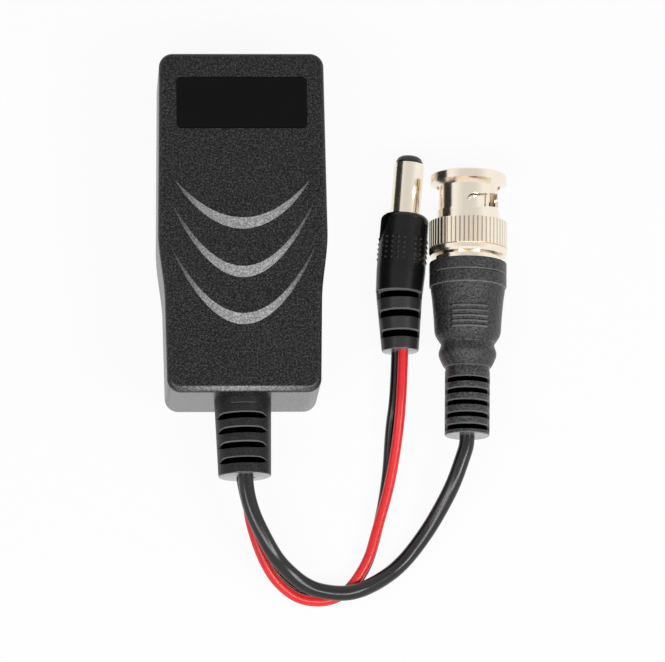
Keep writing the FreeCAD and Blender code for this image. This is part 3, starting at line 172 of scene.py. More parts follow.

# Routes of the leads, from the strain relief to the plugs, in millimetres
COAX_ROUTE = (
    (0.35, -45.35, 12.0), (0.35, -50.0, 12.0), (4.85, -59.1, 10.2), (7.6, -62.05, 7.6),
    (11.7, -65.15, 6.0), (16.3, -66.1, 5.4), (20.15, -65.95, 5.3), (24.55, -63.8, 3.6),
    (29.1, -60.3, 2.0), (33.55, -54.65, 3.0), (36.5, -49.8, 4.6), (38.6, -45.75, 6.2),
    (40.25, -41.1, 7.1), (40.965, -38.95, 7.22), (41.0, -37.45, 7.22),
)
RED_ROUTE = (
    (1.0, -45.35, 9.2), (0.17, -50.2, 8.9), (3.97, -61.39, 4.7), (8.97, -66.44, 2.95),
    (14.26, -67.44, 2.95), (18.7, -65.9, 2.95), (22.85, -60.0, 2.95), (24.55, -53.95, 2.95),
    (26.95, -46.1, 3.0), (28.55, -37.15, 3.9), (29.35, -29.0, 5.4), (29.7, -21.15, 5.4),
)
BLACK_ROUTE = (
    (-0.27, -45.35, 7.8), (0.6, -50.2, 6.4), (4.8, -60.65, 2.6), (10.1, -65.2, 1.0),
    (14.6, -66.2, 1.0), (18.8, -65.5, 1.0), (22.3, -61.5, 1.0), (24.45, -55.3, 1.0),
    (26.7, -44.5, 1.0), (27.3, -35.0, 2.0), (28.2, -29.5, 3.5), (28.55, -21.15, 3.85),
)


class Value:
    """A shader socket on which Python's operators add Math nodes."""

    def __init__(self, recipe, socket):
        self.recipe = recipe
        self.socket = socket

    def _math(self, operation, first, second):
        return self.recipe.node("ShaderNodeMath", {"operation": operation}, {0: first, 1: second})

    def __add__(self, other):
        return self._math("ADD", self, other)

    def __radd__(self, other):
        return self._math("ADD", other, self)

    def __sub__(self, other):
        return self._math("SUBTRACT", self, other)

    def __rsub__(self, other):
        return self._math("SUBTRACT", other, self)

    def __mul__(self, other):
        return self._math("MULTIPLY", self, other)

    def __rmul__(self, other):
        return self._math("MULTIPLY", other, self)

    def __truediv__(self, other):
        return self._math("DIVIDE", self, other)

    def __pow__(self, other):
        return self._math("POWER", self, other)

    def above(self, other):
        return self._math("GREATER_THAN", self, other)

    def larger(self, other):
        return self._math("MAXIMUM", self, other)

    def smaller(self, other):
        return self._math("MINIMUM", self, other)


class Recipe:
    """The nodes of one material or world."""

    def __init__(self, owner):
        self.owner = owner
        owner.use_nodes = True
        self.tree = owner.node_tree
        self.tree.nodes.clear()
        self.place = None

    def node(self, kind, settings=None, inputs=None, output=0):
        """Adds a node: first its settings, then its sockets' values or links."""
        node = self.tree.nodes.new(kind)
        for key, value in (settings or {}).items():
            if key == "stops":
                self._set_stops(node.color_ramp, value)
            else:
                setattr(node, key, value)
        for key, value in (inputs or {}).items():
            if isinstance(value, Value):
                self.tree.links.new(value.socket, node.inputs[key])
            else:
                node.inputs[key].default_value = value
        return Value(self, node.outputs[output]) if node.outputs else None

    @staticmethod
    def _set_stops(ramp, stops):
        while len(ramp.elements) < len(stops):
            ramp.elements.new(1.0)
        for element, (position, tone) in zip(ramp.elements, stops):
            element.position = position
            element.color = (tone, tone, tone, 1.0)

    def rays(self, *kinds):
        """1 for a ray of any of the named kinds."""
        path = self.tree.nodes.new("ShaderNodeLightPath")
        found = Value(self, path.outputs[kinds[0]])
        for kind in kinds[1:]:
            found = found.larger(Value(self, path.outputs[kind]))
        return found

    def where(self):
        """The surface point in the piece's own frame, in metres; a noise's scale is per metre."""
        if self.place is None:
            self.place = self.node("ShaderNodeTexCoord", output=3)
        return self.place

    def coordinate(self, axis):
        """The surface point's x, y or z."""
        return self.node("ShaderNodeSeparateXYZ", {}, {"Vector": self.where()}, output=axis)

    def towards_leads(self):
        """How far the surface faces the side on which the leads leave the case, from -1 to 1."""
        facing = self.node("ShaderNodeTexCoord", output=1)
        return self.node("ShaderNodeSeparateXYZ", {}, {"Vector": facing}, output=1) * -1.0

    def round_line(self, start, lean):
        """The distance from a line through start, and the way along it from there."""
        x, y, z = (self.coordinate(i) - start[i] for i in range(3))
        across = x - y * math.tan(lean)
        return (across * across + z * z) ** 0.5, y

    @staticmethod
    def within(value, middle, half):
        """1 where a value is no more than half away from the middle."""
        off = value - middle
        return (half * half - off * off).above(0.0)

    def stretched(self, scale):
        """The surface point scaled along each axis, for a noise that is drawn out."""
        return self.node(
            "ShaderNodeVectorMath", {"operation": "MULTIPLY"}, {0: self.where(), 1: scale})

    def noise(self, scale, detail=2.0, rough=0.5, at=None):
        sockets = {
            "Vector": at or self.where(), "Scale": scale, "Detail": detail, "Roughness": rough}
        return self.node("ShaderNodeTexNoise", {}, sockets)

    def cells(self, scale):
        return self.node("ShaderNodeTexVoronoi", {}, {"Vector": self.where(), "Scale": scale})

    def bands(self, direction, scale):
        settings = {"bands_direction": direction}
        return self.node("ShaderNodeTexWave", settings, {"Vector": self.where(), "Scale": scale})

    def ramp(self, value, *stops):
        return self.node("ShaderNodeValToRGB", {"stops": stops}, {"Fac": value})

    def mix(self, factor, first, second):
        return self.node(
            "ShaderNodeMix", {"data_type": "RGBA"}, {0: factor, 6: first, 7: second}, output=2)

    def bump(self, height, distance, below=None):
        sockets = {"Height": height, "Distance": distance, "Strength": 1.0}
        if below is not None:
            sockets["Normal"] = below
        return self.node("ShaderNodeBump", {}, sockets)

    def surface(self, colour, roughness, normal, **more):
        """Ends the recipe with one surface shader."""
        sockets = {"Base Color": colour, "Roughness": roughness, "Normal": normal}
        for key, value in more.items():
            sockets[key.replace("_", " ").title().replace("Ior", "IOR")] = value
        shader = self.node("ShaderNodeBsdfPrincipled", {}, sockets)
        self.node("ShaderNodeOutputMaterial", {}, {"Surface": shader})
        return self.owner


def opaque(colour, factor=1.0):
    """A colour with alpha, made lighter or darker by a factor."""
    return tuple(channel * factor for channel in colour[:3]) + (1.0,)


def spark_plastic(name, colour, highlight_colour, grain):
    """Moulded plastic with a spark-eroded mould's pitted grain and painted glints, and a painted
    highlight on the slopes that face the leads.
    """
    recipe = Recipe(bpy.data.materials.new(name))
    pits = recipe.noise(1.0 / grain, detail=3.0, rough=0.7)
    broad = recipe.noise(55.0, detail=3.0)
    # Painted glints: the grain's high spots are coloured up to 24 times lighter than the case
    # colour, on the ridges as well.
    sparkle = recipe.ramp(pits, (0.46, 0.0), (0.64, 1.0))
    skin = recipe.mix(sparkle, opaque(colour), opaque(colour, 24.0))
    ridge_highlight_tone = recipe.mix(sparkle, opaque(highlight_colour, 0.6), opaque(highlight_colour, 1.6))
    # Painted highlight: slopes that face the leads, towards the key light, take the lighter ridge
    # colour, which fades out to the sides.
    slope = recipe.towards_leads()
    aside = recipe.coordinate(0) / RIDGE_HIGHLIGHT_REACH
    wear_and_painted_highlight = recipe.ramp(slope, *RIDGE_HIGHLIGHT_SLOPES) * (1.0 - aside * aside)
    wall = recipe.ramp(slope, *WALL_SLOPES)
    return recipe.surface(
        recipe.mix(wear_and_painted_highlight, skin, ridge_highlight_tone), broad * 0.12 + pits * 0.1 + 0.16,
        recipe.bump(pits, 0.04 * MM), specular_ior_level=0.24,
        coat_weight=wall * 0.35, coat_roughness=0.2)


def gloss_panel(name, colour):
    """A glossy dark panel with faint wiping marks."""
    recipe = Recipe(bpy.data.materials.new(name))
    wipes = recipe.noise(
        1.0, detail=4.0, rough=0.6, at=recipe.stretched((260.0, 1900.0, 400.0)))
    haze = recipe.noise(120.0)
    tone = recipe.mix(haze * 0.5, opaque(colour), opaque(colour, 1.8))
    normal = recipe.bump(haze, 0.008 * MM)
    return recipe.surface(tone, wipes * 0.1 + 0.06, normal, specular_ior_level=0.1)


def soft_moulding(name, colour, roughness, grain, depth, hollow, mottle, shine, pale_to=0.0):
    """Soft moulded plastic: grain, painted shade deep in the grooves, a painted highlight on
    slopes that face the leads, and a glossy end face.

    The hollow is where the shade is painted, black and unreflecting: a line's start and lean, the
    radius there, how much that grows along the line, and its limit. Up to pale_to along the line
    the moulding is paler."""
    recipe = Recipe(bpy.data.materials.new(name))
    end, lean, core, taper, most = hollow
    from_axis, y = recipe.round_line(end, lean)
    face = (0.15 * MM - y).above(0.0)
    painted_hollow_shade = ((y * taper + core).smaller(most) - from_axis).above(0.0) * (1.0 - face)
    pits = recipe.noise(1.0 / grain, rough=0.55)
    wear_and_painted_highlight = recipe.noise(170.0, detail=4.0, rough=0.6)
    speckle = recipe.ramp(pits, (0.42, 0.0), (0.58, 1.0))
    tone = recipe.mix(speckle, opaque(colour, 1 - mottle), opaque(colour, 1 + mottle))
    tone = recipe.mix(wear_and_painted_highlight * 0.3, tone, opaque(colour, 2.5))
    if pale_to:
        tone = recipe.mix((pale_to - y).above(0.0), tone, opaque(colour, 6.0))
    # Painted highlight: slopes that face the leads, groove edges and end faces among them, take a
    # pale grey.
    tone = recipe.mix(recipe.towards_leads().above(EDGE_HIGHLIGHT_SLOPE), tone, opaque(PAINTED_EDGE_HIGHLIGHT))
    # Painted shade: deep in the grooves the moulding is black and unreflecting.
    tone = recipe.mix(painted_hollow_shade, tone, opaque(DEEP_SHADE))
    sheen = (wear_and_painted_highlight * 0.18 + pits * 0.12 + (roughness - 0.15)) * (1.0 - face * 0.5)
    return recipe.surface(
        tone, sheen.larger(painted_hollow_shade), recipe.bump(pits, depth), specular_ior_level=shine,
        metallic=painted_hollow_shade, coat_weight=face * 0.7, coat_roughness=0.12)


def jacket(name, colour, roughness):
    """The smooth extruded jacket of a lead, a little wavy from the die."""
    recipe = Recipe(bpy.data.materials.new(name))
    wave = recipe.noise(420.0)
    specks = recipe.noise(3800.0, detail=1.0)
    tone = recipe.mix(wave * 0.7, opaque(colour), opaque(colour, 1.35))
    normal = recipe.bump(specks, 0.002 * MM, below=recipe.bump(wave, 0.012 * MM))
    return recipe.surface(tone, wave * 0.1 + (roughness - 0.05), normal, specular_ior_level=0.5)


def plated_metal(name, colour, roughness, knurl=None):
    """Plated metal: a warm bright skin, faintly clouded and turned, with painted shade in the
    knurl's grooves.
    """
    recipe = Recipe(bpy.data.materials.new(name))
    cloud = recipe.noise(300.0, detail=3.0, rough=0.6)
    turning = recipe.noise(1.0, at=recipe.stretched((60.0, 9000.0, 60.0)))
    tone = recipe.mix(cloud * 0.5, opaque(colour), opaque(colour, 0.9))
    normal = recipe.bump(turning, 0.0015 * MM, below=recipe.bump(cloud, 0.004 * MM))
    sheen = cloud * 0.08 + turning * 0.05 + (roughness - 0.06)
    if knurl:
        start, lean, along_it, away = knurl
        from_axis, y = recipe.round_line(start, lean)
        groove = recipe.within(y, *along_it) * recipe.within(from_axis, *away)
        # Painted shade: the knurl's groove floors are coloured darker, and made rougher.
        tone = recipe.mix(groove, tone, opaque(KNURL_GROOVE_SHADE))
        sheen = sheen + groove * 0.4
    return recipe.surface(tone, sheen, normal, metallic=1.0)


def plain_plastic(name, colour, roughness, shine=0.4):
    """A small moulded or dipped piece with a slight orange peel."""
    recipe = Recipe(bpy.data.materials.new(name))
    peel = recipe.noise(900.0)
    broad = recipe.noise(200.0, detail=3.0)
    tone = recipe.mix(broad * 0.6, opaque(colour), opaque(colour, 1.25))
    normal = recipe.bump(peel, 0.012 * MM)
    return recipe.surface(
        tone, broad * 0.15 + (roughness - 0.07), normal, specular_ior_level=shine)


def solder_mask(name, colour):
    """A circuit board's green skin over the weave of its glass cloth."""
    recipe = Recipe(bpy.data.materials.new(name))
    weave = (recipe.bands("X", 420.0) + recipe.bands("Y", 420.0)) * 0.5
    tone = recipe.mix(weave * 0.35, opaque(colour), opaque(colour, 1.9))
    return recipe.surface(tone, weave * 0.1 + 0.25, recipe.bump(weave, 0.006 * MM))


def sintered(name, colour):
    """Dull pressed ferrite with pale specks."""
    recipe = Recipe(bpy.data.materials.new(name))
    specks = recipe.ramp(recipe.cells(2400.0), (0.08, 1.0), (0.22, 0.0))
    grain = recipe.noise(1800.0, detail=3.0)
    tone = recipe.mix(specks * 0.3, opaque(colour), opaque(colour, 4.0))
    return recipe.surface(tone, grain * 0.2 + 0.55, recipe.bump(grain, 0.015 * MM))


def look():
    """The settings that the user may change."""
    return bpy.context.scene.balun_look


def use_material(piece, material):
    piece.data.materials.clear()
    piece.data.materials.append(material)


def dress(nodes, material):
    """Gives CAD nodes a finished material."""
    for name in nodes:
        use_material(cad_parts[name], material)


def add_piece(name, data, material, node):
    """Puts a finished mesh or curve in the scene, in place of a CAD node."""
    piece = bpy.data.objects.new(name, data)
    bpy.context.scene.collection.objects.link(piece)
    use_material(piece, material)
    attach(piece, HOUSING)
    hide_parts(node)


def spread(start, end, pitch):
    """Evenly spaced stations from start to end, both included."""
    count = max(1, round((end - start) / pitch))
    return [start + (end - start) * i / count for i in range(count + 1)]


def smooth(share):
    """Rises smoothly from 0 to 1 as a share does."""
    share = min(max(share, 0.0), 1.0)
    return share * share * (3 - 2 * share)


def band(offset, half, edge):
    """1 within half of the middle, falling smoothly to 0 over an edge."""
    return smooth((half + edge / 2 - abs(offset)) / edge)


def along(profile, at):
    """The radius of a profile of (station, radius) points at one station."""
    for (s0, r0), (s1, r1) in zip(profile, profile[1:]):
        if s0 <= at <= s1:
            return r0 if s1 == s0 else r0 + (r1 - r0) * (at - s0) / (s1 - s0)
    return profile[-1][1]


def lathe(name, place, stations, radius, segments):
    """The mesh of a closed turned form whose radius may vary round it as well as along it."""
    verts, faces = [], []
    for at in stations:
        matrix = place(at)
        for j in range(segments):
            angle = 2 * math.pi * j / segments
            r = radius(at, angle)
            verts.append(matrix @ Vector((r * math.sin(angle), 0.0, r * math.cos(angle))))
    for i in range(len(stations) - 1):
        for j in range(segments):
            k = (j + 1) % segments
            near, far = i * segments, (i + 1) * segments
            faces.append((near + j, near + k, far + k, far + j))
    for i, turn in ((0, 1), (len(stations) - 1, -1)):
        middle = len(verts)
        verts.append(place(stations[i]).translation)
        for j in range(segments):
            edge = (i * segments + j, i * segments + (j + 1) % segments)
            faces.append((middle,) + edge[::-turn])
    mesh = bpy.data.meshes.new(name)
    mesh.from_pydata([tuple(v) for v in verts], [], faces)
    bm = bmesh.new()
    bm.from_mesh(mesh)
    bmesh.ops.recalc_face_normals(bm, faces=bm.faces)
    bm.to_mesh(mesh)
    bm.free()
    mesh.set_sharp_from_angle(angle=SHARP_EDGE)
    for face in mesh.polygons:
        face.use_smooth = True
    return mesh


def rounded_end(radius):
    """Stations and radii of a rounded rim at the cable end."""
    points = []
    for i in range(END_STEPS + 1):
        angle = math.pi / 2 * i / END_STEPS
        rise = END_FILLET * (1 - math.sin(angle))
        points.append((END_FILLET * (1 - math.cos(angle)), radius - rise))
    return points


def slot_cut(offset, half, depth, lip=0.2 * MM):
    """A groove's depth at an offset from its middle, chamfered most on its far edge."""
    if half <= 0.0:
        return 0.0
    deep = depth * band(offset, half - GROOVE_WALL / 2, GROOVE_WALL)
    chamfer = (lip if offset > 0.0 else lip / 3) * min(half / FULL_LIP_HALF, 1.0)
    return max(deep, chamfer - max(abs(offset) - half, 0.0))


def lead_curve(name, route, diameter, material, node):
    """Lays a lead as one smooth tube along its route."""
    data = bpy.data.curves.new(name, "CURVE")
    data.dimensions = "3D"
    data.resolution_u = LEAD_STEPS
    data.bevel_depth = diameter / 2
    data.bevel_resolution = LEAD_SIDES
    data.use_fill_caps = True
    spline = data.splines.new("NURBS")
    spline.points.add(len(route) - 1)
    for point, place in zip(spline.points, route):
        point.co = tuple(c * MM for c in place) + (1.0,)
    spline.order_u = 3
    spline.use_endpoint_u = True
    add_piece(name, data, material, node)


class BalunLook(bpy.types.PropertyGroup):
    """Sizes and colours of the balun that a user would change."""

    case_colour: bpy.props.FloatVectorProperty(
        name="Case colour", description="Colour of the case's plastic", subtype="COLOR",
        size=3, min=0.0, max=1.0, default=(0.0025, 0.0024, 0.0024))
    # The ridge colour is the painted highlight on the case's slopes that face the leads.
    ridge_highlight_colour: bpy.props.FloatVectorProperty(
        name="Ridge colour", description="Colour of the case's slopes that face the leads",
        subtype="COLOR", size=3, min=0.0, max=1.0, default=(0.28, 0.28, 0.285))
    case_grain: bpy.props.FloatProperty(
        name="Case grain", description="Size of the case's mould grain", unit="LENGTH",
        default=0.00032, min=0.00005, max=0.002, precision=5)
    label_colour: bpy.props.FloatVectorProperty(
        name="Panel colour", description="Colour of the glossy panel", subtype="COLOR",
        size=3, min=0.0, max=1.0, default=(0.002, 0.002, 0.0024))
    moulding_colour: bpy.props.FloatVectorProperty(
        name="Moulding colour", description="Colour of the case's strain relief", subtype="COLOR",
        size=3, min=0.0, max=1.0, default=(0.013, 0.013, 0.0134))
    boot_colour: bpy.props.FloatVectorProperty(
        name="Boot colour", description="Colour of the bayonet plug's boot", subtype="COLOR",
        size=3, min=0.0, max=1.0, default=(0.024, 0.024, 0.0246))
    grip_colour: bpy.props.FloatVectorProperty(
        name="Grip colour", description="Colour of the power plug's moulding", subtype="COLOR",
        size=3, min=0.0, max=1.0, default=(0.005, 0.005, 0.0052))
    coax_diameter: bpy.props.FloatProperty(
        name="Coaxial lead", description="Diameter of the coaxial lead", unit="LENGTH",
        default=0.0028, min=0.001, max=0.006, precision=5)
    wire_diameter: bpy.props.FloatProperty(
        name="Power wires", description="Diameter of each power wire", unit="LENGTH",
        default=0.0019, min=0.0005, max=0.004, precision=5)
    red_colour: bpy.props.FloatVectorProperty(
        name="Red wire", description="Colour of the red wire's jacket", subtype="COLOR",
        size=3, min=0.0, max=1.0, default=(0.72, 0.018, 0.02))
    black_colour: bpy.props.FloatVectorProperty(
        name="Black jackets", description="Colour of the black jackets", subtype="COLOR",
        size=3, min=0.0, max=1.0, default=(0.0038, 0.0036, 0.0037))
    nickel_colour: bpy.props.FloatVectorProperty(
        name="Nickel", description="Colour of the nickel plating", subtype="COLOR",
        size=3, min=0.0, max=1.0, default=(0.95, 0.86, 0.73))
    dot_height: bpy.props.FloatProperty(
        name="Grip dots", description="Height of the dots on the power plug's grip", unit="LENGTH",
        default=0.00018, min=0.0, max=0.001, precision=5)
    key_level: bpy.props.FloatProperty(
        name="Key light", description="Power of the main soft light, in watts",
        default=3.5, min=0.0, max=50.0)
    room_level: bpy.props.FloatProperty(
        name="Room light", description="Strength of the light from all round",
        default=0.2, min=0.0, max=5.0)
    overhead_level: bpy.props.FloatProperty(
        name="Overhead", description="How bright the room looks straight overhead in reflections",
        default=0.75, min=0.0, max=1.0)
    view_distance: bpy.props.FloatProperty(
        name="View distance", description="From the camera to the balun", unit="LENGTH",
        default=1.0, min=0.2, max=10.0)
    view_lens: bpy.props.FloatProperty(
        name="Lens", description="Focal length of the camera's lens", unit="CAMERA",
        default=293.756, min=20.0, max=2000.0)


class BalunOperator:
    """What all the operators share."""

    bl_options = {"REGISTER", "UNDO"}


class BALUN_OT_stage(BalunOperator, bpy.types.Operator):
    """Adds the floor, the soft light and the camera"""

    bl_idname = "balun.stage"
    bl_label = "Stage"

    def execute(self, context):
        self.add_floor()
        self.light_room(context.scene)
        for i, (way, share) in enumerate(zip(KEY_ARC, KEY_SHARES)):
            self.add_key_lamp(i, Vector(way) * KEY_REACH, look().key_level * share)
        self.add_camera(context.scene)
        return {"FINISHED"}

    def add_floor(self):
        bpy.ops.mesh.primitive_plane_add(size=FLOOR_SIZE, location=(0.0, 0.0, -FLOOR_DROP))
        floor = bpy.context.object
        floor.name = "floor"
        recipe = Recipe(bpy.data.materials.new("pale_floor"))
        shown = recipe.rays("Is Camera Ray", "Is Glossy Ray", "Is Transmission Ray")
        paper = recipe.node("ShaderNodeBsdfDiffuse", {}, {"Color": FLOOR_PAPER})
        white = recipe.node("ShaderNodeEmission", {}, {"Color": WHITE, "Strength": 1.0})
        mixed = recipe.node("ShaderNodeMixShader", {}, {0: shown * FLOOR_GLOW, 1: paper, 2: white})
        recipe.node("ShaderNodeOutputMaterial", {}, {"Surface": mixed})
        use_material(floor, recipe.owner)

    def light_room(self, scene):
        """A white room, duller overhead in reflections, that lights the balun only weakly."""
        scene.world = bpy.data.worlds.new("studio")
        recipe = Recipe(scene.world)
        direction = recipe.node("ShaderNodeTexCoord")
        height = recipe.node("ShaderNodeSeparateXYZ", {}, {"Vector": direction}, output=2)
        overhead = recipe.ramp(height, (0.0, 1.0), (0.55, 1.0), (0.9, look().overhead_level))
        room, mirrored, white = (
            recipe.node("ShaderNodeBackground", {}, {"Color": colour, "Strength": level})
            for colour, level in ((WHITE, look().room_level), (overhead, 1.0), (WHITE, 1.0)))
        glossy = recipe.rays("Is Glossy Ray")
        shown = recipe.rays("Is Camera Ray", "Is Transmission Ray")
        mixed = recipe.node("ShaderNodeMixShader", {}, {0: glossy, 1: room, 2: mirrored})
        mixed = recipe.node("ShaderNodeMixShader", {}, {0: shown, 1: mixed, 2: white})
        recipe.node("ShaderNodeOutputWorld", {}, {"Surface": mixed})

    def add_key_lamp(self, number, place, power):
        name = f"key_light_{number}"
        data = bpy.data.lights.new(name, "AREA")
        data.shape = "RECTANGLE"
        data.size, data.size_y = KEY_SIZE
        data.energy = power
        lamp = bpy.data.objects.new(name, data)
        bpy.context.scene.collection.objects.link(lamp)
        lamp.location = VIEW_TARGET + place
        lamp.rotation_euler = place.to_track_quat("Z", "Y").to_euler()

    def add_camera(self, scene):
        right = VIEW_UP.cross(VIEW_BACK).normalized()
        matrix = Matrix((right, VIEW_UP, VIEW_BACK)).transposed().to_4x4()
        matrix.translation = VIEW_TARGET + VIEW_BACK * look().view_distance
        data = bpy.data.cameras.new("camera")
        data.lens = look().view_lens
        data.sensor_width = 36.0
        data.clip_end = 50.0
        camera = bpy.data.objects.new("camera", data)
        scene.collection.objects.link(camera)
        camera.matrix_world = matrix
        scene.camera = camera


class BALUN_OT_leads(BalunOperator, bpy.types.Operator):
    """Lays the coaxial lead and the two power wires"""

    bl_idname = "balun.leads"
    bl_label = "Leads"

    def execute(self, context):
        black = jacket("black_jacket", look().black_colour, roughness=0.23)
        red = jacket("red_jacket", look().red_colour, roughness=0.3)
        coax = look().coax_diameter
        wire = look().wire_diameter
        lead_curve("coaxial_lead", COAX_ROUTE, coax, black, "coax_cable")
        lead_curve("red_wire", RED_ROUTE, wire, red, "dc_wire_red")
        lead_curve("black_wire", BLACK_ROUTE, wire, black, "dc_wire_black")
        dress(["coax_tail", "black_tail", "bnc_cable_tail"], black)
        dress(["red_tail"], red)
        return {"FINISHED"}


class BALUN_OT_case(BalunOperator, bpy.types.Operator):
    """Finishes the case, its glossy panel and its socket"""

    bl_idname = "balun.case"
    bl_label = "Case"

    def execute(self, context):
        plastic = spark_plastic(
            "case_plastic", look().case_colour, look().ridge_highlight_colour, look().case_grain)
        dress(["top_shell", "back_cover"], plastic)
        dress(["label_plate"], gloss_panel("panel_gloss", look().label_colour))
        socket = plain_plastic("socket_plastic", (0.012, 0.012, 0.013), roughness=0.4)
        dress(["jack_housing"], socket)
        return {"FINISHED"}


class BALUN_OT_strain_relief(BalunOperator, bpy.types.Operator):
    """Builds the grooved strain relief where the leads leave the case"""

    bl_idname = "balun.strain_relief"
    bl_label = "Strain relief"

    def execute(self, context):
        profile = rounded_end(RELIEF_RADIUS)
        profile += [(RELIEF_LENGTH + s * MM, r * MM) for s, r in RELIEF_NECK]
        stations = {s for s, _ in profile} | set(spread(LATHE_START, RELIEF_LENGTH, 0.075 * MM))

        def radius(at, angle):
            """Slots above and below, which narrow to both sides, and a fine line across."""
            r = along(profile, at)
            if at > RELIEF_LENGTH:
                return r
            up = math.cos(angle)
            height = abs(math.cos(angle + math.copysign(RELIEF_SLOT_TURN, up))) * r
            share = smooth((height - RELIEF_SLOT_START) / RELIEF_SLOT_RUN) ** 0.6
            half = RELIEF_SLOT_HALF * share
            cut = max(slot_cut(at - slot, half, r - RELIEF_CORE) for slot in RELIEF_SLOTS)
            line = RELIEF_LINE_DEPTH * band(at - RELIEF_LINE, half=0.06 * MM, edge=0.16 * MM)
            line *= band(math.sin(angle) * r, half=2.3 * MM, edge=0.8 * MM)
            return r - max(cut, line)

        def place(at):
            beyond = max(RELIEF_LENGTH - at, 0.0)
            shift = Vector((math.sin(RELIEF_LEAN) * beyond, at, 0.0))
            lean = RELIEF_LEAN if beyond > 0.0 else 0.0
            return Matrix.Translation(RELIEF_END + shift) @ Matrix.Rotation(lean, 4, "Z")

        end = place(0.0).translation
        rubber = soft_moulding(
            "relief_rubber", look().moulding_colour, roughness=0.36, grain=0.26 * MM,
            depth=0.06 * MM, hollow=(end, -RELIEF_LEAN, 4.55 * MM, 0.02, 4.85 * MM),
            mottle=0.7, shine=0.16)
        mesh = lathe("strain_relief_sleeve", place, sorted(stations), radius, segments=144)
        add_piece("strain_relief_sleeve", mesh, rubber, "strain_relief")
        return {"FINISHED"}


class BALUN_OT_power_plug(BalunOperator, bpy.types.Operator):
    """Builds the barrel power plug's moulding and finishes its metal"""

    bl_idname = "balun.power_plug"
    bl_label = "Power plug"

    def execute(self, context):
        profile = rounded_end(DC_RELIEF_RADIUS)
        profile += [(DC_RELIEF + s * MM, r * MM) for s, r in DC_GRIP]
        fine = spread(LATHE_START, DC_RELIEF + DC_FINE, 0.09 * MM)
        stations = {s for s, _ in profile} | set(fine)

        def dot(at, angle, r):
            """A share of a dot's height at a point of the grip."""
            row = min(abs(at - DC_RELIEF - s) for s in DC_DOT_ROWS)
            if row >= DC_DOT_REACH:
                return 0.0
            turn = min(
                abs((angle - column + math.pi) % (2 * math.pi) - math.pi)
                for column in DC_DOT_COLUMNS)
            return smooth(1.15 - math.hypot(row, turn * r) / DC_DOT)

        def radius(at, angle):
            """Dots on the grip, and grooves above and below on its strain relief."""
            r = along(profile, at)
            if at > DC_RELIEF:
                return r + look().dot_height * dot(at, angle, r)
            web = band(math.cos(angle) * DC_WEB_RADIUS, half=1.1 * MM, edge=0.5 * MM)
            cut = max(
                slot_cut(at - groove, half=0.62 * MM, depth=1.2 * MM, lip=0.24 * MM)
                for groove in DC_GROOVES)
            return r - cut * (1 - web)

        def place(at):
            lean = -DC_LEAN * smooth((at - DC_RELIEF) / DC_BEND + 0.5)
            beyond = max(at - DC_RELIEF, 0.0)
            y = min(at, DC_RELIEF) + math.cos(DC_LEAN) * beyond
            shift = Vector((math.sin(DC_LEAN) * beyond, y, 0.0))
            return Matrix.Translation(DC_END + shift) @ Matrix.Rotation(lean, 4, "Z")

        rubber = soft_moulding(
            "grip_rubber", look().grip_colour, roughness=0.3, grain=0.3 * MM, depth=0.006 * MM,
            hollow=(DC_END, 0.0, 3.1 * MM, 0.08, 3.6 * MM), mottle=0.25, shine=0.25,
            pale_to=DC_RELIEF)
        mesh = lathe("power_plug_grip", place, sorted(stations), radius, segments=288)
        add_piece("power_plug_grip", mesh, rubber, "dc_plug_moulding")
        nickel = plated_metal("barrel_nickel", look().nickel_colour, roughness=0.2)
        dress(["dc_barrel", "dc_inner_contact"], nickel)
        tip = plain_plastic("tip_plastic", (0.01, 0.01, 0.0105), roughness=0.32, shine=0.5)
        dress(["dc_tip_insulator"], tip)
        return {"FINISHED"}


class BALUN_OT_bayonet_plug(BalunOperator, bpy.types.Operator):
    """Builds the bayonet plug's boot and finishes its metal, seals and insulator"""

    bl_idname = "balun.bayonet_plug"
    bl_label = "Bayonet plug"

    def execute(self, context):
        stations = {s for s, _ in BOOT_PROFILE} | set(spread(0.3 * MM, BOOT_FINE, 0.085 * MM))

        def radius(at, angle):
            """Slots above and below on the tail, parted by a spine and webs; ribs on the boot."""
            r = along(BOOT_PROFILE, at)
            across = math.sin(angle) * r
            if at >= BOOT_TAIL:
                rib = max(band(at - s, half=0.13 * MM, edge=0.3 * MM) for s in BOOT_RIBS)
                return r + BOOT_RIB_HEIGHT * rib * band(across, half=3.3 * MM, edge=0.7 * MM)
            web = band(math.cos(angle) * r, half=0.9 * MM, edge=0.5 * MM)
            cut = max(slot_cut(at - slot, BOOT_SLOT_HALF, BOOT_SLOT_DEPTH) for slot in BOOT_SLOTS)
            if abs(across) < BOOT_SPINE_HALF:
                cut = min(cut, max(BOOT_SPINE_DEPTH + (r - BOOT_CORE), 0.0))
            return r - cut * (1 - web)

        turn = Matrix.Rotation(-BNC_LEAN, 4, "Z")

        def place(at):
            return Matrix.Translation(BNC_END) @ turn @ Matrix.Translation((0.0, at, 0.0))

        rubber = soft_moulding(
            "boot_rubber", look().boot_colour, roughness=0.34, grain=0.42 * MM, depth=0.22 * MM,
            hollow=(BNC_END, BNC_LEAN, 3.7 * MM, 0.0, 3.7 * MM), mottle=0.95, shine=0.38)
        mesh = lathe("bayonet_boot", place, sorted(stations), radius, segments=160)
        add_piece("bayonet_boot", mesh, rubber, "bnc_boot")
        colour = look().nickel_colour
        knurl = (BNC_END, BNC_LEAN, KNURL_SPAN, KNURL_FLOOR)
        dress(["bnc_body", "bnc_ferrule"], plated_metal("body_nickel", colour, roughness=0.17))
        dress(["bnc_coupling"], plated_metal("coupling_nickel", colour, 0.17, knurl))
        white = plain_plastic("insulator_white", (0.78, 0.78, 0.75), roughness=0.5)
        dress(["bnc_insulator"], white)
        dress(["bnc_centre_pin"], plated_metal("pin_gold", GOLD, roughness=0.16))
        dress(["bnc_gasket"], plain_plastic("gasket_rubber", (0.4, 0.05, 0.03), roughness=0.6))
        steel = plated_metal("spring_steel", STEEL, roughness=0.22)
        dress(["bnc_slip_washer", "bnc_wave_washer", "bnc_retaining_ring"], steel)
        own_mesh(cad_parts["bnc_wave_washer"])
        return {"FINISHED"}


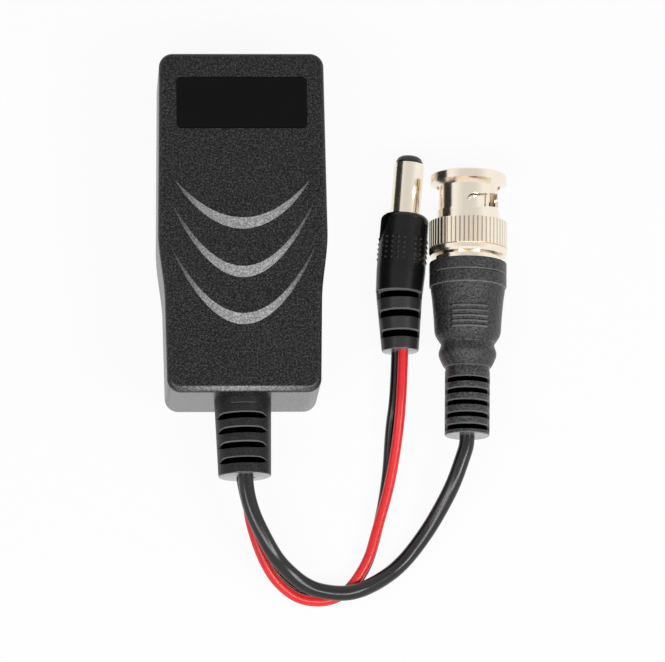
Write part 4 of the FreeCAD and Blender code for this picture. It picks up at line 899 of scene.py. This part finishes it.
class BALUN_OT_circuit(BalunOperator, bpy.types.Operator):
    """Finishes the board and its components inside the case"""

    bl_idname = "balun.circuit"
    bl_label = "Circuit"

    def execute(self, context):
        dress(["circuit_board"], solder_mask("board_green", (0.015, 0.13, 0.045)))
        dress(["toroid_core"], sintered("ferrite", (0.045, 0.045, 0.05)))
        copper = plated_metal("enamelled_copper", COPPER, roughness=0.2)
        dress(["first_winding", "second_winding"], copper)
        dress(["jack_contacts"], plated_metal("contact_gold", GOLD, roughness=0.16))
        dipped = (
            ("surge_suppressor", "grey_glaze", (0.5, 0.5, 0.47)),
            ("capacitor", "blue_dip", (0.02, 0.09, 0.36)),
            ("resettable_fuse", "yellow_dip", (0.7, 0.42, 0.03)),
        )
        for node, finish, colour in dipped:
            dress([node], plain_plastic(finish, colour, roughness=0.3))
        return {"FINISHED"}


class BALUN_OT_declare_leads(BalunOperator, bpy.types.Operator):
    """Does nothing."""

    bl_idname = "balun.declare_leads"
    bl_label = "Declare leads"

    def execute(self, context):
        return {"FINISHED"}


OPERATORS = (
    BALUN_OT_stage, BALUN_OT_leads, BALUN_OT_case, BALUN_OT_strain_relief, BALUN_OT_power_plug,
    BALUN_OT_bayonet_plug, BALUN_OT_circuit, BALUN_OT_declare_leads,
)


class BALUN_PT_panel(bpy.types.Panel):
    """Lists the balun's pieces and its settings"""

    bl_idname = "BALUN_PT_panel"
    bl_label = "Balun"
    bl_space_type = "VIEW_3D"
    bl_region_type = "UI"
    bl_category = "Balun"

    def draw(self, context):
        for operator in OPERATORS:
            self.layout.operator(operator.bl_idname)
        for name in BalunLook.__annotations__:
            self.layout.prop(context.scene.balun_look, name)


CLASSES = (BalunLook,) + OPERATORS + (BALUN_PT_panel,)


def register():
    for cls in CLASSES:
        bpy.utils.register_class(cls)
    bpy.types.Scene.balun_look = bpy.props.PointerProperty(type=BalunLook)


def unregister():
    del bpy.types.Scene.balun_look
    for cls in reversed(CLASSES):
        bpy.utils.unregister_class(cls)


def main():
    register()
    bpy.context.scene.view_settings.view_transform = "Standard"
    bpy.ops.balun.stage()
    bpy.ops.balun.leads()
    bpy.ops.balun.case()
    bpy.ops.balun.strain_relief()
    bpy.ops.balun.power_plug()
    bpy.ops.balun.bayonet_plug()
    bpy.ops.balun.circuit()
    bpy.ops.balun.declare_leads()


if __name__ == "__main__":
    main()
